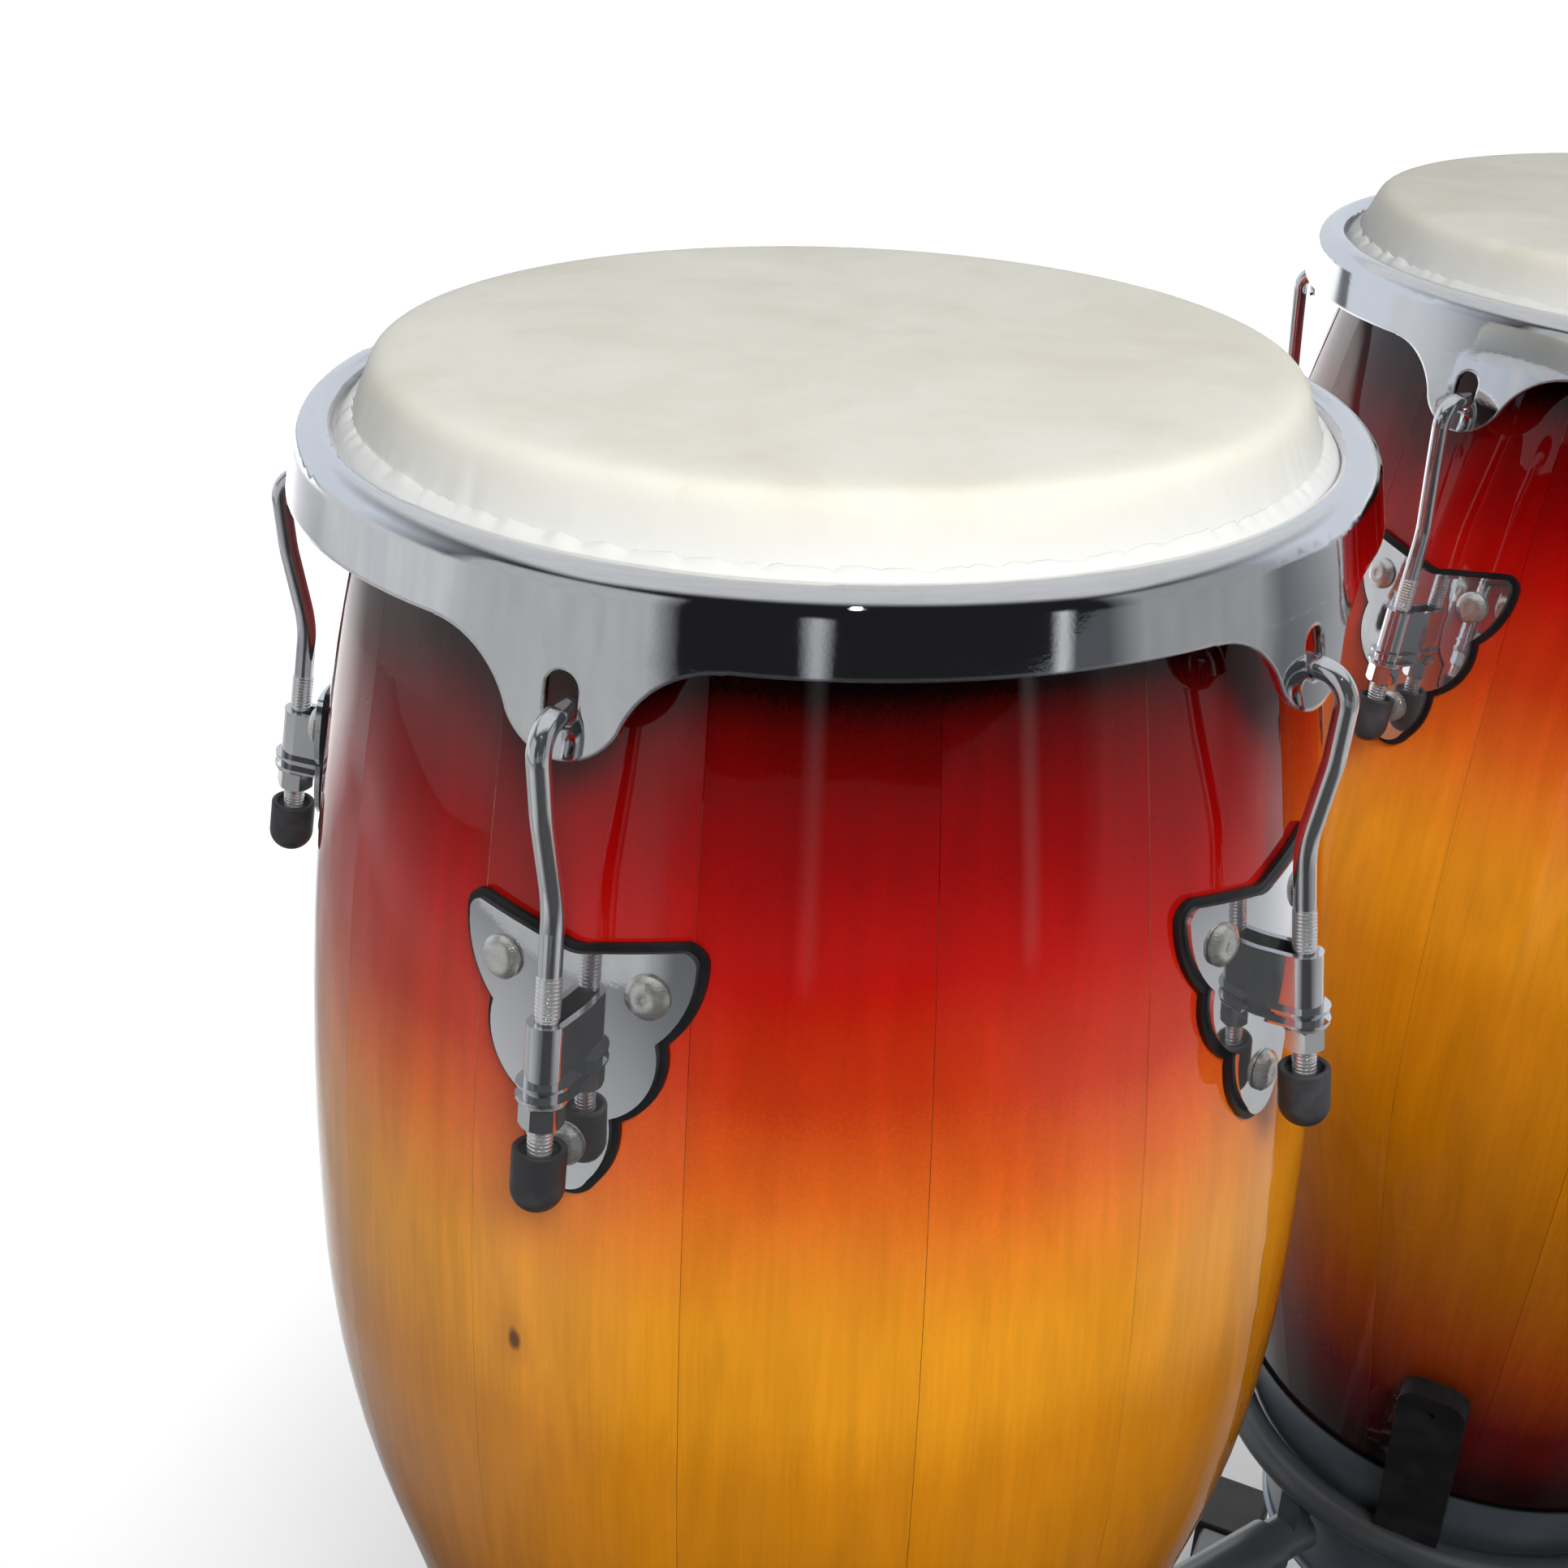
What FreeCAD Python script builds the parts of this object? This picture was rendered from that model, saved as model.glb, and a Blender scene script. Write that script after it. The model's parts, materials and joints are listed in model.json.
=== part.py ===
"""Two conga drums on a double basket stand.

World frame: millimetres, +Z up, the floor at Z = 0, the player's side towards -Y.
Drum frame: origin on the drum's axis at the level of the rim's inner edge.
Lug frame: X outwards from the drum's axis, Y along the rim, Z up.
Seat frame: on the shell under a lug, X straight out of the shell, Z up along it.
"""
import FreeCAD
import Part
import Sketcher
import math
import os

Vector = FreeCAD.Vector
Rotation = FreeCAD.Rotation
Placement = FreeCAD.Placement
UP = Vector(0, 0, 1)
SIDEWAYS = Vector(0, 1, 0)

SIZES = {
    # where things stand
    "rim_height": 923.0,
    "spacing_along": 360.0,
    "spacing_across": 236.0,
    "centre_shift_along": -7.95,
    "centre_shift_across": -0.31,
    "first_lug_angle": -23.6,
    "second_lug_angle": -53.4,
    "first_extra": 0.0,
    "second_extra": 12.7,
    # barrel of the shell, for the smaller drum; the larger one is swollen
    "first_swell": 1.0,
    "second_swell": 1.1,
    "bearing_radius": 127.0,
    "bearing_level": 15.4,
    "bearing_round": 3.0,
    "belly_radius": 163.8,
    "belly_level": -272.0,
    "upper_arc": 1077.0,
    "lower_arc": 389.0,
    "foot_radius": 77.0,
    "foot_level": -693.0,
    "shell_wall": 9.5,
    "stave_count": 16.0,
    "glue_line": 0.05,
    # bottom band
    "band_top": -558.0,
    "band_gap": 0.1,
    "band_wall": 1.4,
    "band_bead": 2.2,
    # head
    "skin_wall": 1.8,
    "skin_level": 16.6,
    "skin_fold_radius": 127.9,
    "skin_collar_radius": 136.3,
    "skin_collar_foot": -8.0,
    "skin_wrap_radius": 146.7,
    "skin_wrap_foot": -17.2,
    "skin_wrap_top": -6.8,
    "skin_tuck_radius": 139.4,
    "hoop_radius": 141.5,
    "hoop_level": -12.0,
    "hoop_bar": 4.0,
    # rim
    "rim_wall": 2.2,
    "rim_inner": 140.8,
    "rim_lip_foot": -4.2,
    "rim_lip_top": 0.2,
    "rim_shoulder": 148.9,
    "rim_skirt": 152.5,
    "rim_skirt_foot": -18.0,
    "ear_wall_radius": 157.6,
    "ear_tip": -43.0,
    "ear_half_width": 37.5,
    "ear_neck": 14.6,
    "ear_neck_level": -34.5,
    "slot_width": 9.0,
    "slot_top": -22.2,
    "slot_foot": -35.8,
    # lugs
    "lug_count": 5.0,
    "seat_level": -105.0,
    "seat_lean": 9.38,
    "gasket_gap": 0.3,
    "gasket_wall": 1.6,
    "plate_wall": 1.8,
    "plate_inset": 2.0,
    "bolt_half_spacing": 19.8,
    "bolt_drop": 46.0,
    "bolt_shank": 2.5,
    "bolt_head": 5.8,
    "bolt_dome": 2.6,
    "bolt_edge": 0.9,
    "bolt_length": 21.0,
    "bolt_clearance": 0.1,
    "inside_washer": 6.0,
    "inside_nut_flats": 8.0,
    "inside_nut_height": 4.0,
    # tuning hooks, measured up and down the rod from the bolt line
    "rod_radius": 3.0,
    "rod_offset": 14.73,
    "rod_foot": -55.6,
    "tip_radius": 149.2,
    "tip_foot": -39.2,
    "hook_level": -32.3,
    "hook_radius": 166.3,
    "knee_radius": 165.3,
    "knee_level": -55.0,
    "ankle_level": 22.9,
    "strap_radius": 5.0,
    "strap_bore": 3.08,
    "strap_top": -7.1,
    "strap_foot": -27.0,
    "flange_radius": 6.8,
    "flange_wall": 0.8,
    "flange_pitch": 3.6,
    "washer_radius": 6.2,
    "washer_wall": 0.9,
    "nut_flats": 10.0,
    "nut_top": -28.3,
    "nut_height": 6.6,
    "nut_bore": 3.05,
    "cap_radius": 6.9,
    "cap_cup_radius": 5.2,
    "cap_cup_depth": 3.4,
    "cap_top": -40.8,
    "cap_foot": -58.4,
    # baskets
    "ring_level": -603.0,
    "first_ring_radius": 109.2,
    "second_ring_radius": 118.8,
    "ring_tube": 8.75,
    "prong_count": 3.0,
    "prong_angle": -29.0,
    "prong_level": -530.0,
    "prong_wall": 4.0,
    "prong_width": 22.0,
    "prong_top": 49.0,
    "prong_foot": -76.0,
    "sleeve_gap": 2.0,
    "sleeve_wall": 9.5,
    "sleeve_width": 30.0,
    "sleeve_top": 57.0,
    "sleeve_foot": -61.0,
    "sleeve_hole": 2.2,
    "arm_level": -640.0,
    "arm_radius": 11.0,
    "arm_wall": 1.8,
    "arm_start": 26.0,
    "arm_past_ring": 9.0,
    "saddle_inset": 6.0,
    "saddle_length": 10.0,
    "saddle_width": 12.0,
    "saddle_sink": 2.0,
    "saddle_top": -604.0,
    "running_gap": 0.05,
    # crossbar, mast, post and base, measured from the floor
    "crossbar_half": 82.0,
    "crossbar_radius": 13.5,
    "hub_radius": 21.0,
    "hub_foot": 232.0,
    "pin_radius": 10.0,
    "mast_radius": 16.0,
    "mast_foot": 80.0,
    "mast_top": 231.0,
    "post_radius": 19.0,
    "post_top": 206.0,
    "collar_radius": 24.0,
    "collar_height": 24.0,
    "flange_disc": 33.0,
    "flange_disc_wall": 4.0,
    "bar_length": 640.0,
    "bar_width": 32.0,
    "bar_height": 20.0,
    "bar_wall": 1.6,
    "bar_ground": 14.0,
    "bar_gap": 0.5,
    "bar_spread": 64.0,
    "shoe_length": 48.0,
    "shoe_wall": 4.0,
    "shoe_reach": 6.0,
    "screw_radius": 4.0,
    "screw_wing": 17.0,
}

doc = FreeCAD.newDocument("conga_drums")
sheet = doc.addObject("Spreadsheet::Sheet", "Sheet")
for row, (alias, value) in enumerate(SIZES.items(), start=1):
    sheet.set("A%d" % row, alias.replace("_", " "))
    sheet.set("B%d" % row, str(value))
    sheet.setAlias("B%d" % row, alias)
doc.recompute()
size = {alias: float(sheet.get(alias)) for alias in SIZES}

DRUMS = ("first", "second")
NODES = []


# ---------------------------------------------------------------- helpers

def of(alias):
    """The sheet's cell, as an expression."""
    return "Sheet.%s" % alias


def bind(thing, prop, expression):
    """Tie a property to the sheet."""
    thing.setExpression(prop, expression)


def plane(body, role):
    """One of a body's own origin planes."""
    return [item for item in body.Origin.OriginFeatures if item.Role == role][0]


def new_body(name):
    return doc.addObject("PartDesign::Body", name)


def new_sketch(body, role, name, lift=None):
    """A sketch on a body's plane, lifted off it by an expression where one is given."""
    sketch = body.newObject("Sketcher::SketchObject", name)
    sketch.AttachmentSupport = [(plane(body, role), "")]
    sketch.MapMode = "FlatFace"
    if lift is not None:
        bind(sketch, "AttachmentOffset.Base.z", lift)
    return sketch


def draw(sketch, curves):
    """Put ready-made curves into a sketch, end to end."""
    for curve in curves:
        sketch.addGeometry(curve, False)


def draw_circle(sketch, radius, across="0", along="0"):
    """A circle whose radius and centre are held by expressions."""
    centre = Vector(sheet.evalExpression(across), sheet.evalExpression(along), 0)
    circle = Part.Circle(centre, UP, sheet.evalExpression(radius))
    index = sketch.addGeometry(circle, False)
    held = sketch.addConstraint(Sketcher.Constraint("Radius", index, circle.Radius))
    sketch.setExpression("Constraints[%d]" % held, radius)
    for word, expression, place in (("DistanceX", across, centre.x), ("DistanceY", along, centre.y)):
        held = sketch.addConstraint(Sketcher.Constraint(word, -1, 1, index, 3, place))
        sketch.setExpression("Constraints[%d]" % held, expression)


def line(start, end):
    return Part.LineSegment(Vector(start[0], start[1], 0), Vector(end[0], end[1], 0))


def arc(start, middle, end):
    return Part.Arc(Vector(start[0], start[1], 0), Vector(middle[0], middle[1], 0),
                    Vector(end[0], end[1], 0))


def rounded_path(corners, radii):
    """Lines through the corners, each inner corner rounded by its radius."""
    curves = []
    start = corners[0]
    for before, corner, after, radius in zip(corners, corners[1:], corners[2:], radii):
        into = Vector(corner[0] - before[0], corner[1] - before[1], 0).normalize()
        out = Vector(after[0] - corner[0], after[1] - corner[1], 0).normalize()
        turn = math.acos(max(-1.0, min(1.0, into.dot(out))))
        reach = radius * math.tan(turn / 2)
        first = (corner[0] - into.x * reach, corner[1] - into.y * reach)
        last = (corner[0] + out.x * reach, corner[1] + out.y * reach)
        inward = Vector(out.x - into.x, out.y - into.y, 0).normalize()
        depth = radius / math.cos(turn / 2) - radius
        middle = (corner[0] + inward.x * depth, corner[1] + inward.y * depth)
        curves.append(line(start, first))
        curves.append(arc(first, middle, last))
        start = last
    curves.append(line(start, corners[-1]))
    return curves


def offset_corners(corners, distance):
    """The corners of a line drawn beside another, distance to its left."""
    sides = []
    for start, end in zip(corners, corners[1:]):
        along = Vector(end[0] - start[0], end[1] - start[1], 0).normalize()
        sides.append((along, Vector(-along.y, along.x, 0) * distance))
    moved = [(corners[0][0] + sides[0][1].x, corners[0][1] + sides[0][1].y)]
    for corner, (into, left), (out, after) in zip(corners[1:], sides, sides[1:]):
        turn = into.x * out.y - into.y * out.x
        gap = after - left
        reach = (gap.x * out.y - gap.y * out.x) / turn
        moved.append((corner[0] + left.x + into.x * reach, corner[1] + left.y + into.y * reach))
    moved.append((corners[-1][0] + sides[-1][1].x, corners[-1][1] + sides[-1][1].y))
    return moved


def strip(corners, radii, wall):
    """The closed outline of a bent sheet, given its middle line."""
    half = wall / 2
    turns = []
    for before, corner, after in zip(corners, corners[1:], corners[2:]):
        cross = ((corner[0] - before[0]) * (after[1] - corner[1])
                 - (corner[1] - before[1]) * (after[0] - corner[0]))
        turns.append(1 if cross > 0 else -1)
    left = offset_corners(corners, half)
    right = offset_corners(corners, -half)
    left_curves = rounded_path(left, [r - half * t for r, t in zip(radii, turns)])
    right_curves = rounded_path(right, [r + half * t for r, t in zip(radii, turns)])
    ends = [line(left[-1], right[-1]), line(right[0], left[0])]
    return left_curves + ends[:1] + right_curves + ends[1:]


def revolve(name, curves, angle="360"):
    """A body turned about Z from an outline in the XZ plane."""
    body = new_body(name)
    sketch = new_sketch(body, "XZ_Plane", name + "_section")
    draw(sketch, curves)
    feature = body.newObject("PartDesign::Revolution", name + "_turn")
    feature.Profile = sketch
    feature.ReferenceAxis = (sketch, ["V_Axis"])
    feature.Midplane = True
    bind(feature, "Angle", angle)
    return body


def pad(name, role, length, curves=(), circles=(), lift=None):
    """A body pushed out of an outline, with round holes where asked."""
    body = new_body(name)
    sketch = new_sketch(body, role, name + "_outline", lift)
    draw(sketch, curves)
    for radius, across, along in circles:
        draw_circle(sketch, radius, across, along)
    feature = body.newObject("PartDesign::Pad", name + "_pad")
    feature.Profile = sketch
    bind(feature, "Length", length)
    return body


def copies(name, source, placements):
    """The same piece at several places, as one object of separate solids."""
    links = []
    for index, place in enumerate(placements):
        link = doc.addObject("App::Link", "%s_at_%d" % (name, index + 1))
        link.LinkedObject = source
        link.Placement = place
        links.append(link)
    group = doc.addObject("Part::Compound", name)
    group.Links = links
    return group


def boolean(kind, name, base, tool):
    """Part::Cut, Part::Fuse or Part::Common of two objects."""
    result = doc.addObject("Part::" + kind, name)
    result.Base = base
    result.Tool = tool
    return result


def node(name, source, placements):
    """A finished sub-part: its label names its file."""
    group = copies(name, source, placements)
    group.Label = name
    NODES.append(group)
    return group


def group_node(name, members):
    """A finished sub-part made of several objects that stand where they belong."""
    group = doc.addObject("Part::Compound", name)
    group.Links = members
    group.Label = name
    NODES.append(group)
    return group


# ---------------------------------------------------------------- places

STAND_YAW = math.degrees(math.atan2(size["spacing_across"], size["spacing_along"]))
STAND_REACH = math.hypot(size["spacing_across"], size["spacing_along"]) / 2
STAND_CENTRE = Vector(size["centre_shift_along"], size["centre_shift_across"], 0)


def drum_centre(which):
    """Where a drum's axis meets the rim level."""
    side = 1 if which == "second" else -1
    return STAND_CENTRE + Vector(side * size["spacing_along"] / 2,
                                 side * size["spacing_across"] / 2, size["rim_height"])


def drum_place(which):
    return Placement(drum_centre(which), Rotation())


def lug_turns(which):
    """Each lug's turn about the drum's axis."""
    count = int(size["lug_count"])
    start = size[which + "_lug_angle"] - 90
    return [start + 360.0 * index / count for index in range(count)]


def turned(turns):
    return [Placement(Vector(), Rotation(UP, turn)) for turn in turns]


def seat(radius, level, lean):
    """The seat frame at a radius and level of the lug frame."""
    return Placement(Vector(radius, 0, level), Rotation(SIDEWAYS, -lean))


# ---------------------------------------------------------------- barrel

class Barrel:
    """The shell's outer line: straight, two arcs that meet at the belly, straight again."""

    def __init__(self, which):
        swell = size[which + "_swell"]
        self.belly = size["belly_radius"] * swell
        self.upper = size["upper_arc"] / swell
        self.lower = size["lower_arc"] / swell
        self.top = self.tangent(size["bearing_radius"] + size[which + "_extra"],
                                size["bearing_level"], self.upper, 1)
        self.foot = self.tangent(size["foot_radius"] * swell, size["foot_level"], self.lower, -1)

    def tangent(self, radius, level, bend, side):
        """The arc's angle where the straight through a point leaves it."""
        across = radius - self.belly + bend
        up = level - size["belly_level"]
        return math.atan2(up, across) - side * math.acos(bend / math.hypot(across, up))

    def half(self, level):
        """The arc's radius and the angle where its straight starts, for one level."""
        if level > size["belly_level"]:
            return self.upper, self.top
        return self.lower, self.foot

    def leaving(self, bend, angle, offset):
        """The spot beside the shell where an arc turns into its straight."""
        reach = bend + offset
        return (self.belly - bend + reach * math.cos(angle),
                size["belly_level"] + reach * math.sin(angle))

    def radius_at(self, level, offset=0.0):
        """The radius of the line beside the shell at one level."""
        bend, angle = self.half(level)
        up = level - size["belly_level"]
        x, y = self.leaving(bend, angle, offset)
        if abs(up) > abs(y - size["belly_level"]):
            return x - (level - y) * math.tan(angle)
        return self.belly - bend + math.sqrt((bend + offset) ** 2 - up ** 2)

    def lean_at(self, level):
        """How far the shell leans in going up, in degrees, at one level."""
        bend, angle = self.half(level)
        limit = abs(math.sin(angle))
        up = (level - size["belly_level"]) / bend
        return math.degrees(math.asin(max(-limit, min(limit, up))))

    def curves(self, offset, high, low):
        """The line beside the shell from one level down to another."""
        breaks = [self.leaving(self.upper, self.top, offset)[1], size["belly_level"],
                  self.leaving(self.lower, self.foot, offset)[1]]
        levels = [high] + [level for level in breaks if low < level < high] + [low]
        result = []
        for above, below in zip(levels, levels[1:]):
            middle = (above + below) / 2
            start = (self.radius_at(above, offset), above)
            end = (self.radius_at(below, offset), below)
            if breaks[2] < middle < breaks[0]:
                result.append(arc(start, (self.radius_at(middle, offset), middle), end))
            else:
                result.append(line(start, end))
        return result

    def layer(self, near, far, high, low):
        """The closed outline between two lines beside the shell."""
        outer = self.curves(far, high, low)
        inner = self.curves(near, high, low)
        closing = [line((self.radius_at(high, near), high), (self.radius_at(high, far), high)),
                   line((self.radius_at(low, near), low), (self.radius_at(low, far), low))]
        return outer + inner + closing


def shell_section(barrel):
    """One stave's cross-section, with the bearing edge rounded on the outside."""
    edge = size["bearing_level"] - size["bearing_round"]
    wall = -size["shell_wall"]
    low = size["foot_level"]
    high = size["bearing_level"]
    inner = barrel.curves(wall, edge, low)
    outer = barrel.curves(0.0, edge, low)
    outside = barrel.radius_at(edge)
    inside = barrel.radius_at(edge, wall)
    shoulder = outside - 1.25 * size["bearing_round"]
    crown = (outside - 0.32 * size["bearing_round"], high - 0.32 * size["bearing_round"])
    return outer + inner + [
        arc((outside, edge), crown, (shoulder, high)),
        line((shoulder, high), (inside, high)),
        line((inside, high), (inside, edge)),
        line((barrel.radius_at(low, wall), low), (barrel.radius_at(low), low)),
    ]


# ---------------------------------------------------------------- drum pieces

def bolt_places(which, barrel):
    """The seat frames of every lug bolt, in the drum frame."""
    places = []
    for turn in lug_turns(which):
        high = size["seat_level"]
        low = high - size["bolt_drop"] * math.cos(math.radians(size["seat_lean"]))
        aside = math.degrees(math.asin(size["bolt_half_spacing"] / barrel.radius_at(high)))
        for extra_turn, level in ((-aside, high), (aside, high), (0.0, low)):
            around = Placement(Vector(), Rotation(UP, turn + extra_turn))
            places.append(around * seat(barrel.radius_at(level), level, barrel.lean_at(level)))
    return places


def staves(which, barrel):
    """Glued staves, bored for the lug bolts."""
    count = int(size["stave_count"])
    name = which + "_stave"
    stave = revolve(name, shell_section(barrel),
                    angle="360 / %s - %s" % (of("stave_count"), of("glue_line")))
    start = lug_turns(which)[0]
    ring = copies(name + "_ring", stave, turned([start + 360.0 * i / count for i in range(count)]))
    drill = doc.addObject("Part::Cylinder", which + "_drill")
    bind(drill, "Radius", "%s + %s" % (of("bolt_shank"), of("bolt_clearance")))
    bind(drill, "Height", "4 * %s" % of("shell_wall"))
    inwards = Placement(Vector(-2 * size["shell_wall"], 0, 0), Rotation(SIDEWAYS, 90))
    holes = copies(which + "_drill_holes", drill,
                   [place * inwards for place in bolt_places(which, barrel)])
    return boolean("Cut", which + "_bored_staves", ring, holes)


def bottom_band(which, barrel):
    """A steel band around the foot, with a rolled bead along its lower edge."""
    near = size["band_gap"]
    far = near + size["band_wall"]
    low = size["foot_level"]
    band = revolve(which + "_band_sheet", barrel.layer(near, far, size["band_top"], low))
    bead = doc.addObject("Part::Torus", which + "_band_bead")
    bead.Radius1 = barrel.radius_at(low + size["band_bead"], far) + size["band_bead"] * 0.6
    bind(bead, "Radius2", of("band_bead"))
    bead.Placement = Placement(Vector(0, 0, low + size["band_bead"]), Rotation())
    keep = revolve(which + "_band_keep", barrel.layer(near, far + 12, size["band_top"], low - 1))
    trimmed = boolean("Common", which + "_band_bead_trimmed", bead, keep)
    return boolean("Fuse", which + "_bottom_band_solid", band, trimmed)


def head_skin(which):
    """Rawhide over the bearing edge, wrapped in, under and over the flesh hoop."""
    extra = size[which + "_extra"]
    corners = [
        (0.0, size["skin_level"]),
        (size["skin_fold_radius"] + extra, size["skin_level"]),
        (size["skin_collar_radius"] + extra, size["skin_collar_foot"]),
        (size["skin_collar_radius"] + extra, size["skin_wrap_foot"]),
        (size["skin_wrap_radius"] + extra, size["skin_wrap_foot"]),
        (size["skin_wrap_radius"] + extra, size["skin_wrap_top"]),
        (size["skin_tuck_radius"] + extra, size["skin_wrap_top"]),
    ]
    bends = (3.4, 8.0, 4.0, 4.0, 4.0)
    return revolve(which + "_skin", strip(corners, bends, size["skin_wall"]))


def flesh_hoop(which):
    """The round steel hoop that the hide is wrapped on."""
    body = new_body(which + "_hoop")
    section = new_sketch(body, "XZ_Plane", which + "_hoop_section")
    draw_circle(section, of("hoop_bar"), "%s + %s" % (of("hoop_radius"), of(which + "_extra")),
                of("hoop_level"))
    feature = body.newObject("PartDesign::Revolution", which + "_hoop_turn")
    feature.Profile = section
    feature.ReferenceAxis = (section, ["V_Axis"])
    feature.Angle = 360
    return body


def ear_outline():
    """A shield with concave flanks, hanging from the rim's skirt."""
    half = size["ear_half_width"]
    foot = size["rim_skirt_foot"]
    neck = size["ear_neck"]
    level = size["ear_neck_level"]
    across = half - neck
    drop = foot - level
    flank = (across ** 2 + drop ** 2) / (2 * drop)
    part_way = math.asin(across / flank) / 2
    bend = (half - flank * math.sin(part_way), foot - flank * (1 - math.cos(part_way)))
    top = foot + 1.0
    return [
        line((half, top), (half, foot)),
        arc((half, foot), bend, (neck, level)),
        arc((neck, level), (0.0, size["ear_tip"]), (-neck, level)),
        arc((-neck, level), (-bend[0], bend[1]), (-half, foot)),
        line((-half, foot), (-half, top)),
        line((-half, top), (half, top)),
    ]


def slot_outline():
    """An upright slot with round ends."""
    half = size["slot_width"] / 2
    high = size["slot_top"] - half
    low = size["slot_foot"] + half
    return [
        line((half, low), (half, high)),
        arc((half, high), (0.0, size["slot_top"]), (-half, high)),
        line((-half, high), (-half, low)),
        arc((-half, low), (0.0, size["slot_foot"]), (half, low)),
    ]


def rim(which):
    """A rolled hoop with a skirt and one slotted ear at each lug."""
    extra = size[which + "_extra"]
    lip = [
        (size["rim_inner"] + extra, size["rim_lip_foot"]),
        (size["rim_inner"] + extra, size["rim_lip_top"]),
        (size["rim_shoulder"] + extra, size["rim_lip_top"]),
        (size["rim_skirt"] + extra, size["rim_skirt_foot"]),
    ]
    ring = revolve(which + "_rim_ring", strip(lip, (2.9, 5.9), size["rim_wall"]))
    wall = [
        (size["rim_skirt"] + extra, size["rim_skirt_foot"]),
        (size["ear_wall_radius"] + extra, size["ear_tip"] - 1.0),
    ]
    apron = revolve(which + "_rim_apron", strip(wall, (), size["rim_wall"]))
    reach = "260"
    ear = pad(which + "_ear_cutter", "YZ_Plane", reach, ear_outline())
    slot = pad(which + "_slot_cutter", "YZ_Plane", reach, slot_outline())
    places = turned(lug_turns(which))
    ears = boolean("Common", which + "_rim_ears", apron, copies(which + "_ear_cutters", ear, places))
    whole = boolean("Fuse", which + "_rim_whole", ring, ears)
    return boolean("Cut", which + "_rim_slotted", whole, copies(which + "_slot_cutters", slot, places))


def butterfly(inset):
    """The side plate's outline: two wings, a waist, two lobes and a tail."""
    spots = {
        # across, up, and the way inwards from there
        "brow": (4.0, 9.7, 0.10, -1.0),
        "wing": (27.7, 15.2, 0.19, -1.0),
        "tip": (32.3, 13.0, -0.83, -0.56),
        "side": (33.5, 9.2, -1.0, 0.1),
        "flank": (31.9, -1.3, -0.96, 0.25),
        "waist": (24.9, -12.9, -1.05, 0.3),
        "lobe": (23.2, -27.2, -0.93, 0.3),
        "pinch": (13.9, -36.9, -0.95, 0.6),
        "tail": (12.9, -48.0, -0.98, 0.15),
        "heel": (8.3, -56.3, -0.8, 0.6),
    }
    right = {name: (across + inset * inwards, up + inset * upwards)
             for name, (across, up, inwards, upwards) in spots.items()}
    left = {name: (-across, up) for name, (across, up) in right.items()}
    curves = [arc(left["brow"], (0.0, 8.9 - inset), right["brow"]),
              arc(left["heel"], (0.0, -61.4 + inset), right["heel"])]
    for half in (left, right):
        curves.append(line(half["brow"], half["wing"]))
        for start, middle, end in (("wing", "tip", "side"), ("side", "flank", "waist"),
                                   ("waist", "lobe", "pinch"), ("pinch", "tail", "heel")):
            curves.append(arc(half[start], half[middle], half[end]))
    return curves


def lug_seat(barrel):
    return seat(barrel.radius_at(size["seat_level"]), size["seat_level"], size["seat_lean"])


def lug_layer(which, barrel, label, inset, near, wall):
    """Five butterfly plates cut from a layer that follows the barrel."""
    high = size["seat_level"] + 30
    low = size["seat_level"] - 80
    layer = revolve("%s_%s_layer" % (which, label), barrel.layer(near, near + wall, high, low))
    cutter = pad("%s_%s_cutter" % (which, label), "YZ_Plane", "40", butterfly(inset),
                 lift="-20")
    places = [place * lug_seat(barrel) for place in turned(lug_turns(which))]
    cutters = copies("%s_%s_cutters" % (which, label), cutter, places)
    blanks = boolean("Common", "%s_%s_blanks" % (which, label), layer, cutters)
    drill = doc.addObject("Part::Cylinder", "%s_%s_drill" % (which, label))
    bind(drill, "Radius", "%s + %s" % (of("bolt_shank"), of("bolt_clearance")))
    bind(drill, "Height", "40")
    inwards = Placement(Vector(-20, 0, 0), Rotation(SIDEWAYS, 90))
    holes = copies("%s_%s_holes" % (which, label), drill,
                   [place * inwards for place in bolt_places(which, barrel)])
    return boolean("Cut", "%s_%s_bored" % (which, label), blanks, holes)


def u_outline(back, radius, bore):
    """A strap bent round the rod, open towards the plate."""
    rod = size["rod_offset"]
    return [
        line((back, -radius), (rod, -radius)),
        arc((rod, -radius), (rod + radius, 0.0), (rod, radius)),
        line((rod, radius), (back, radius)),
        line((back, radius), (back, bore)),
        line((back, bore), (rod, bore)),
        arc((rod, bore), (rod + bore, 0.0), (rod, -bore)),
        line((rod, -bore), (back, -bore)),
        line((back, -bore), (back, -radius)),
    ]


def lug_plates(which, barrel):
    """Chromed plates, each with a strap that carries its tuning rod."""
    near = size["gasket_gap"] + size["gasket_wall"] + 0.05
    plates = lug_layer(which, barrel, "plate", size["plate_inset"], near, size["plate_wall"])
    root = near + 0.6
    strap = pad(which + "_strap", "XY_Plane", "%s - %s" % (of("strap_top"), of("strap_foot")),
                u_outline(root, size["strap_radius"], size["strap_bore"]), lift=of("strap_foot"))
    places = [place * lug_seat(barrel) for place in turned(lug_turns(which))]
    joined = boolean("Fuse", which + "_plates_strapped", plates,
                     copies(which + "_straps", strap, places))
    for index in (0, 1):
        lift = "%s + %s * %d" % (of("strap_foot"), of("flange_pitch"), index)
        flange = pad("%s_flange_%d" % (which, index + 1), "XY_Plane", of("flange_wall"),
                     u_outline(size["rod_offset"] - 8.0, size["flange_radius"], size["strap_bore"]),
                     lift=lift)
        joined = boolean("Fuse", "%s_plates_flanged_%d" % (which, index + 1), joined,
                         copies("%s_flanges_%d" % (which, index + 1), flange, places))
    return joined


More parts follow.
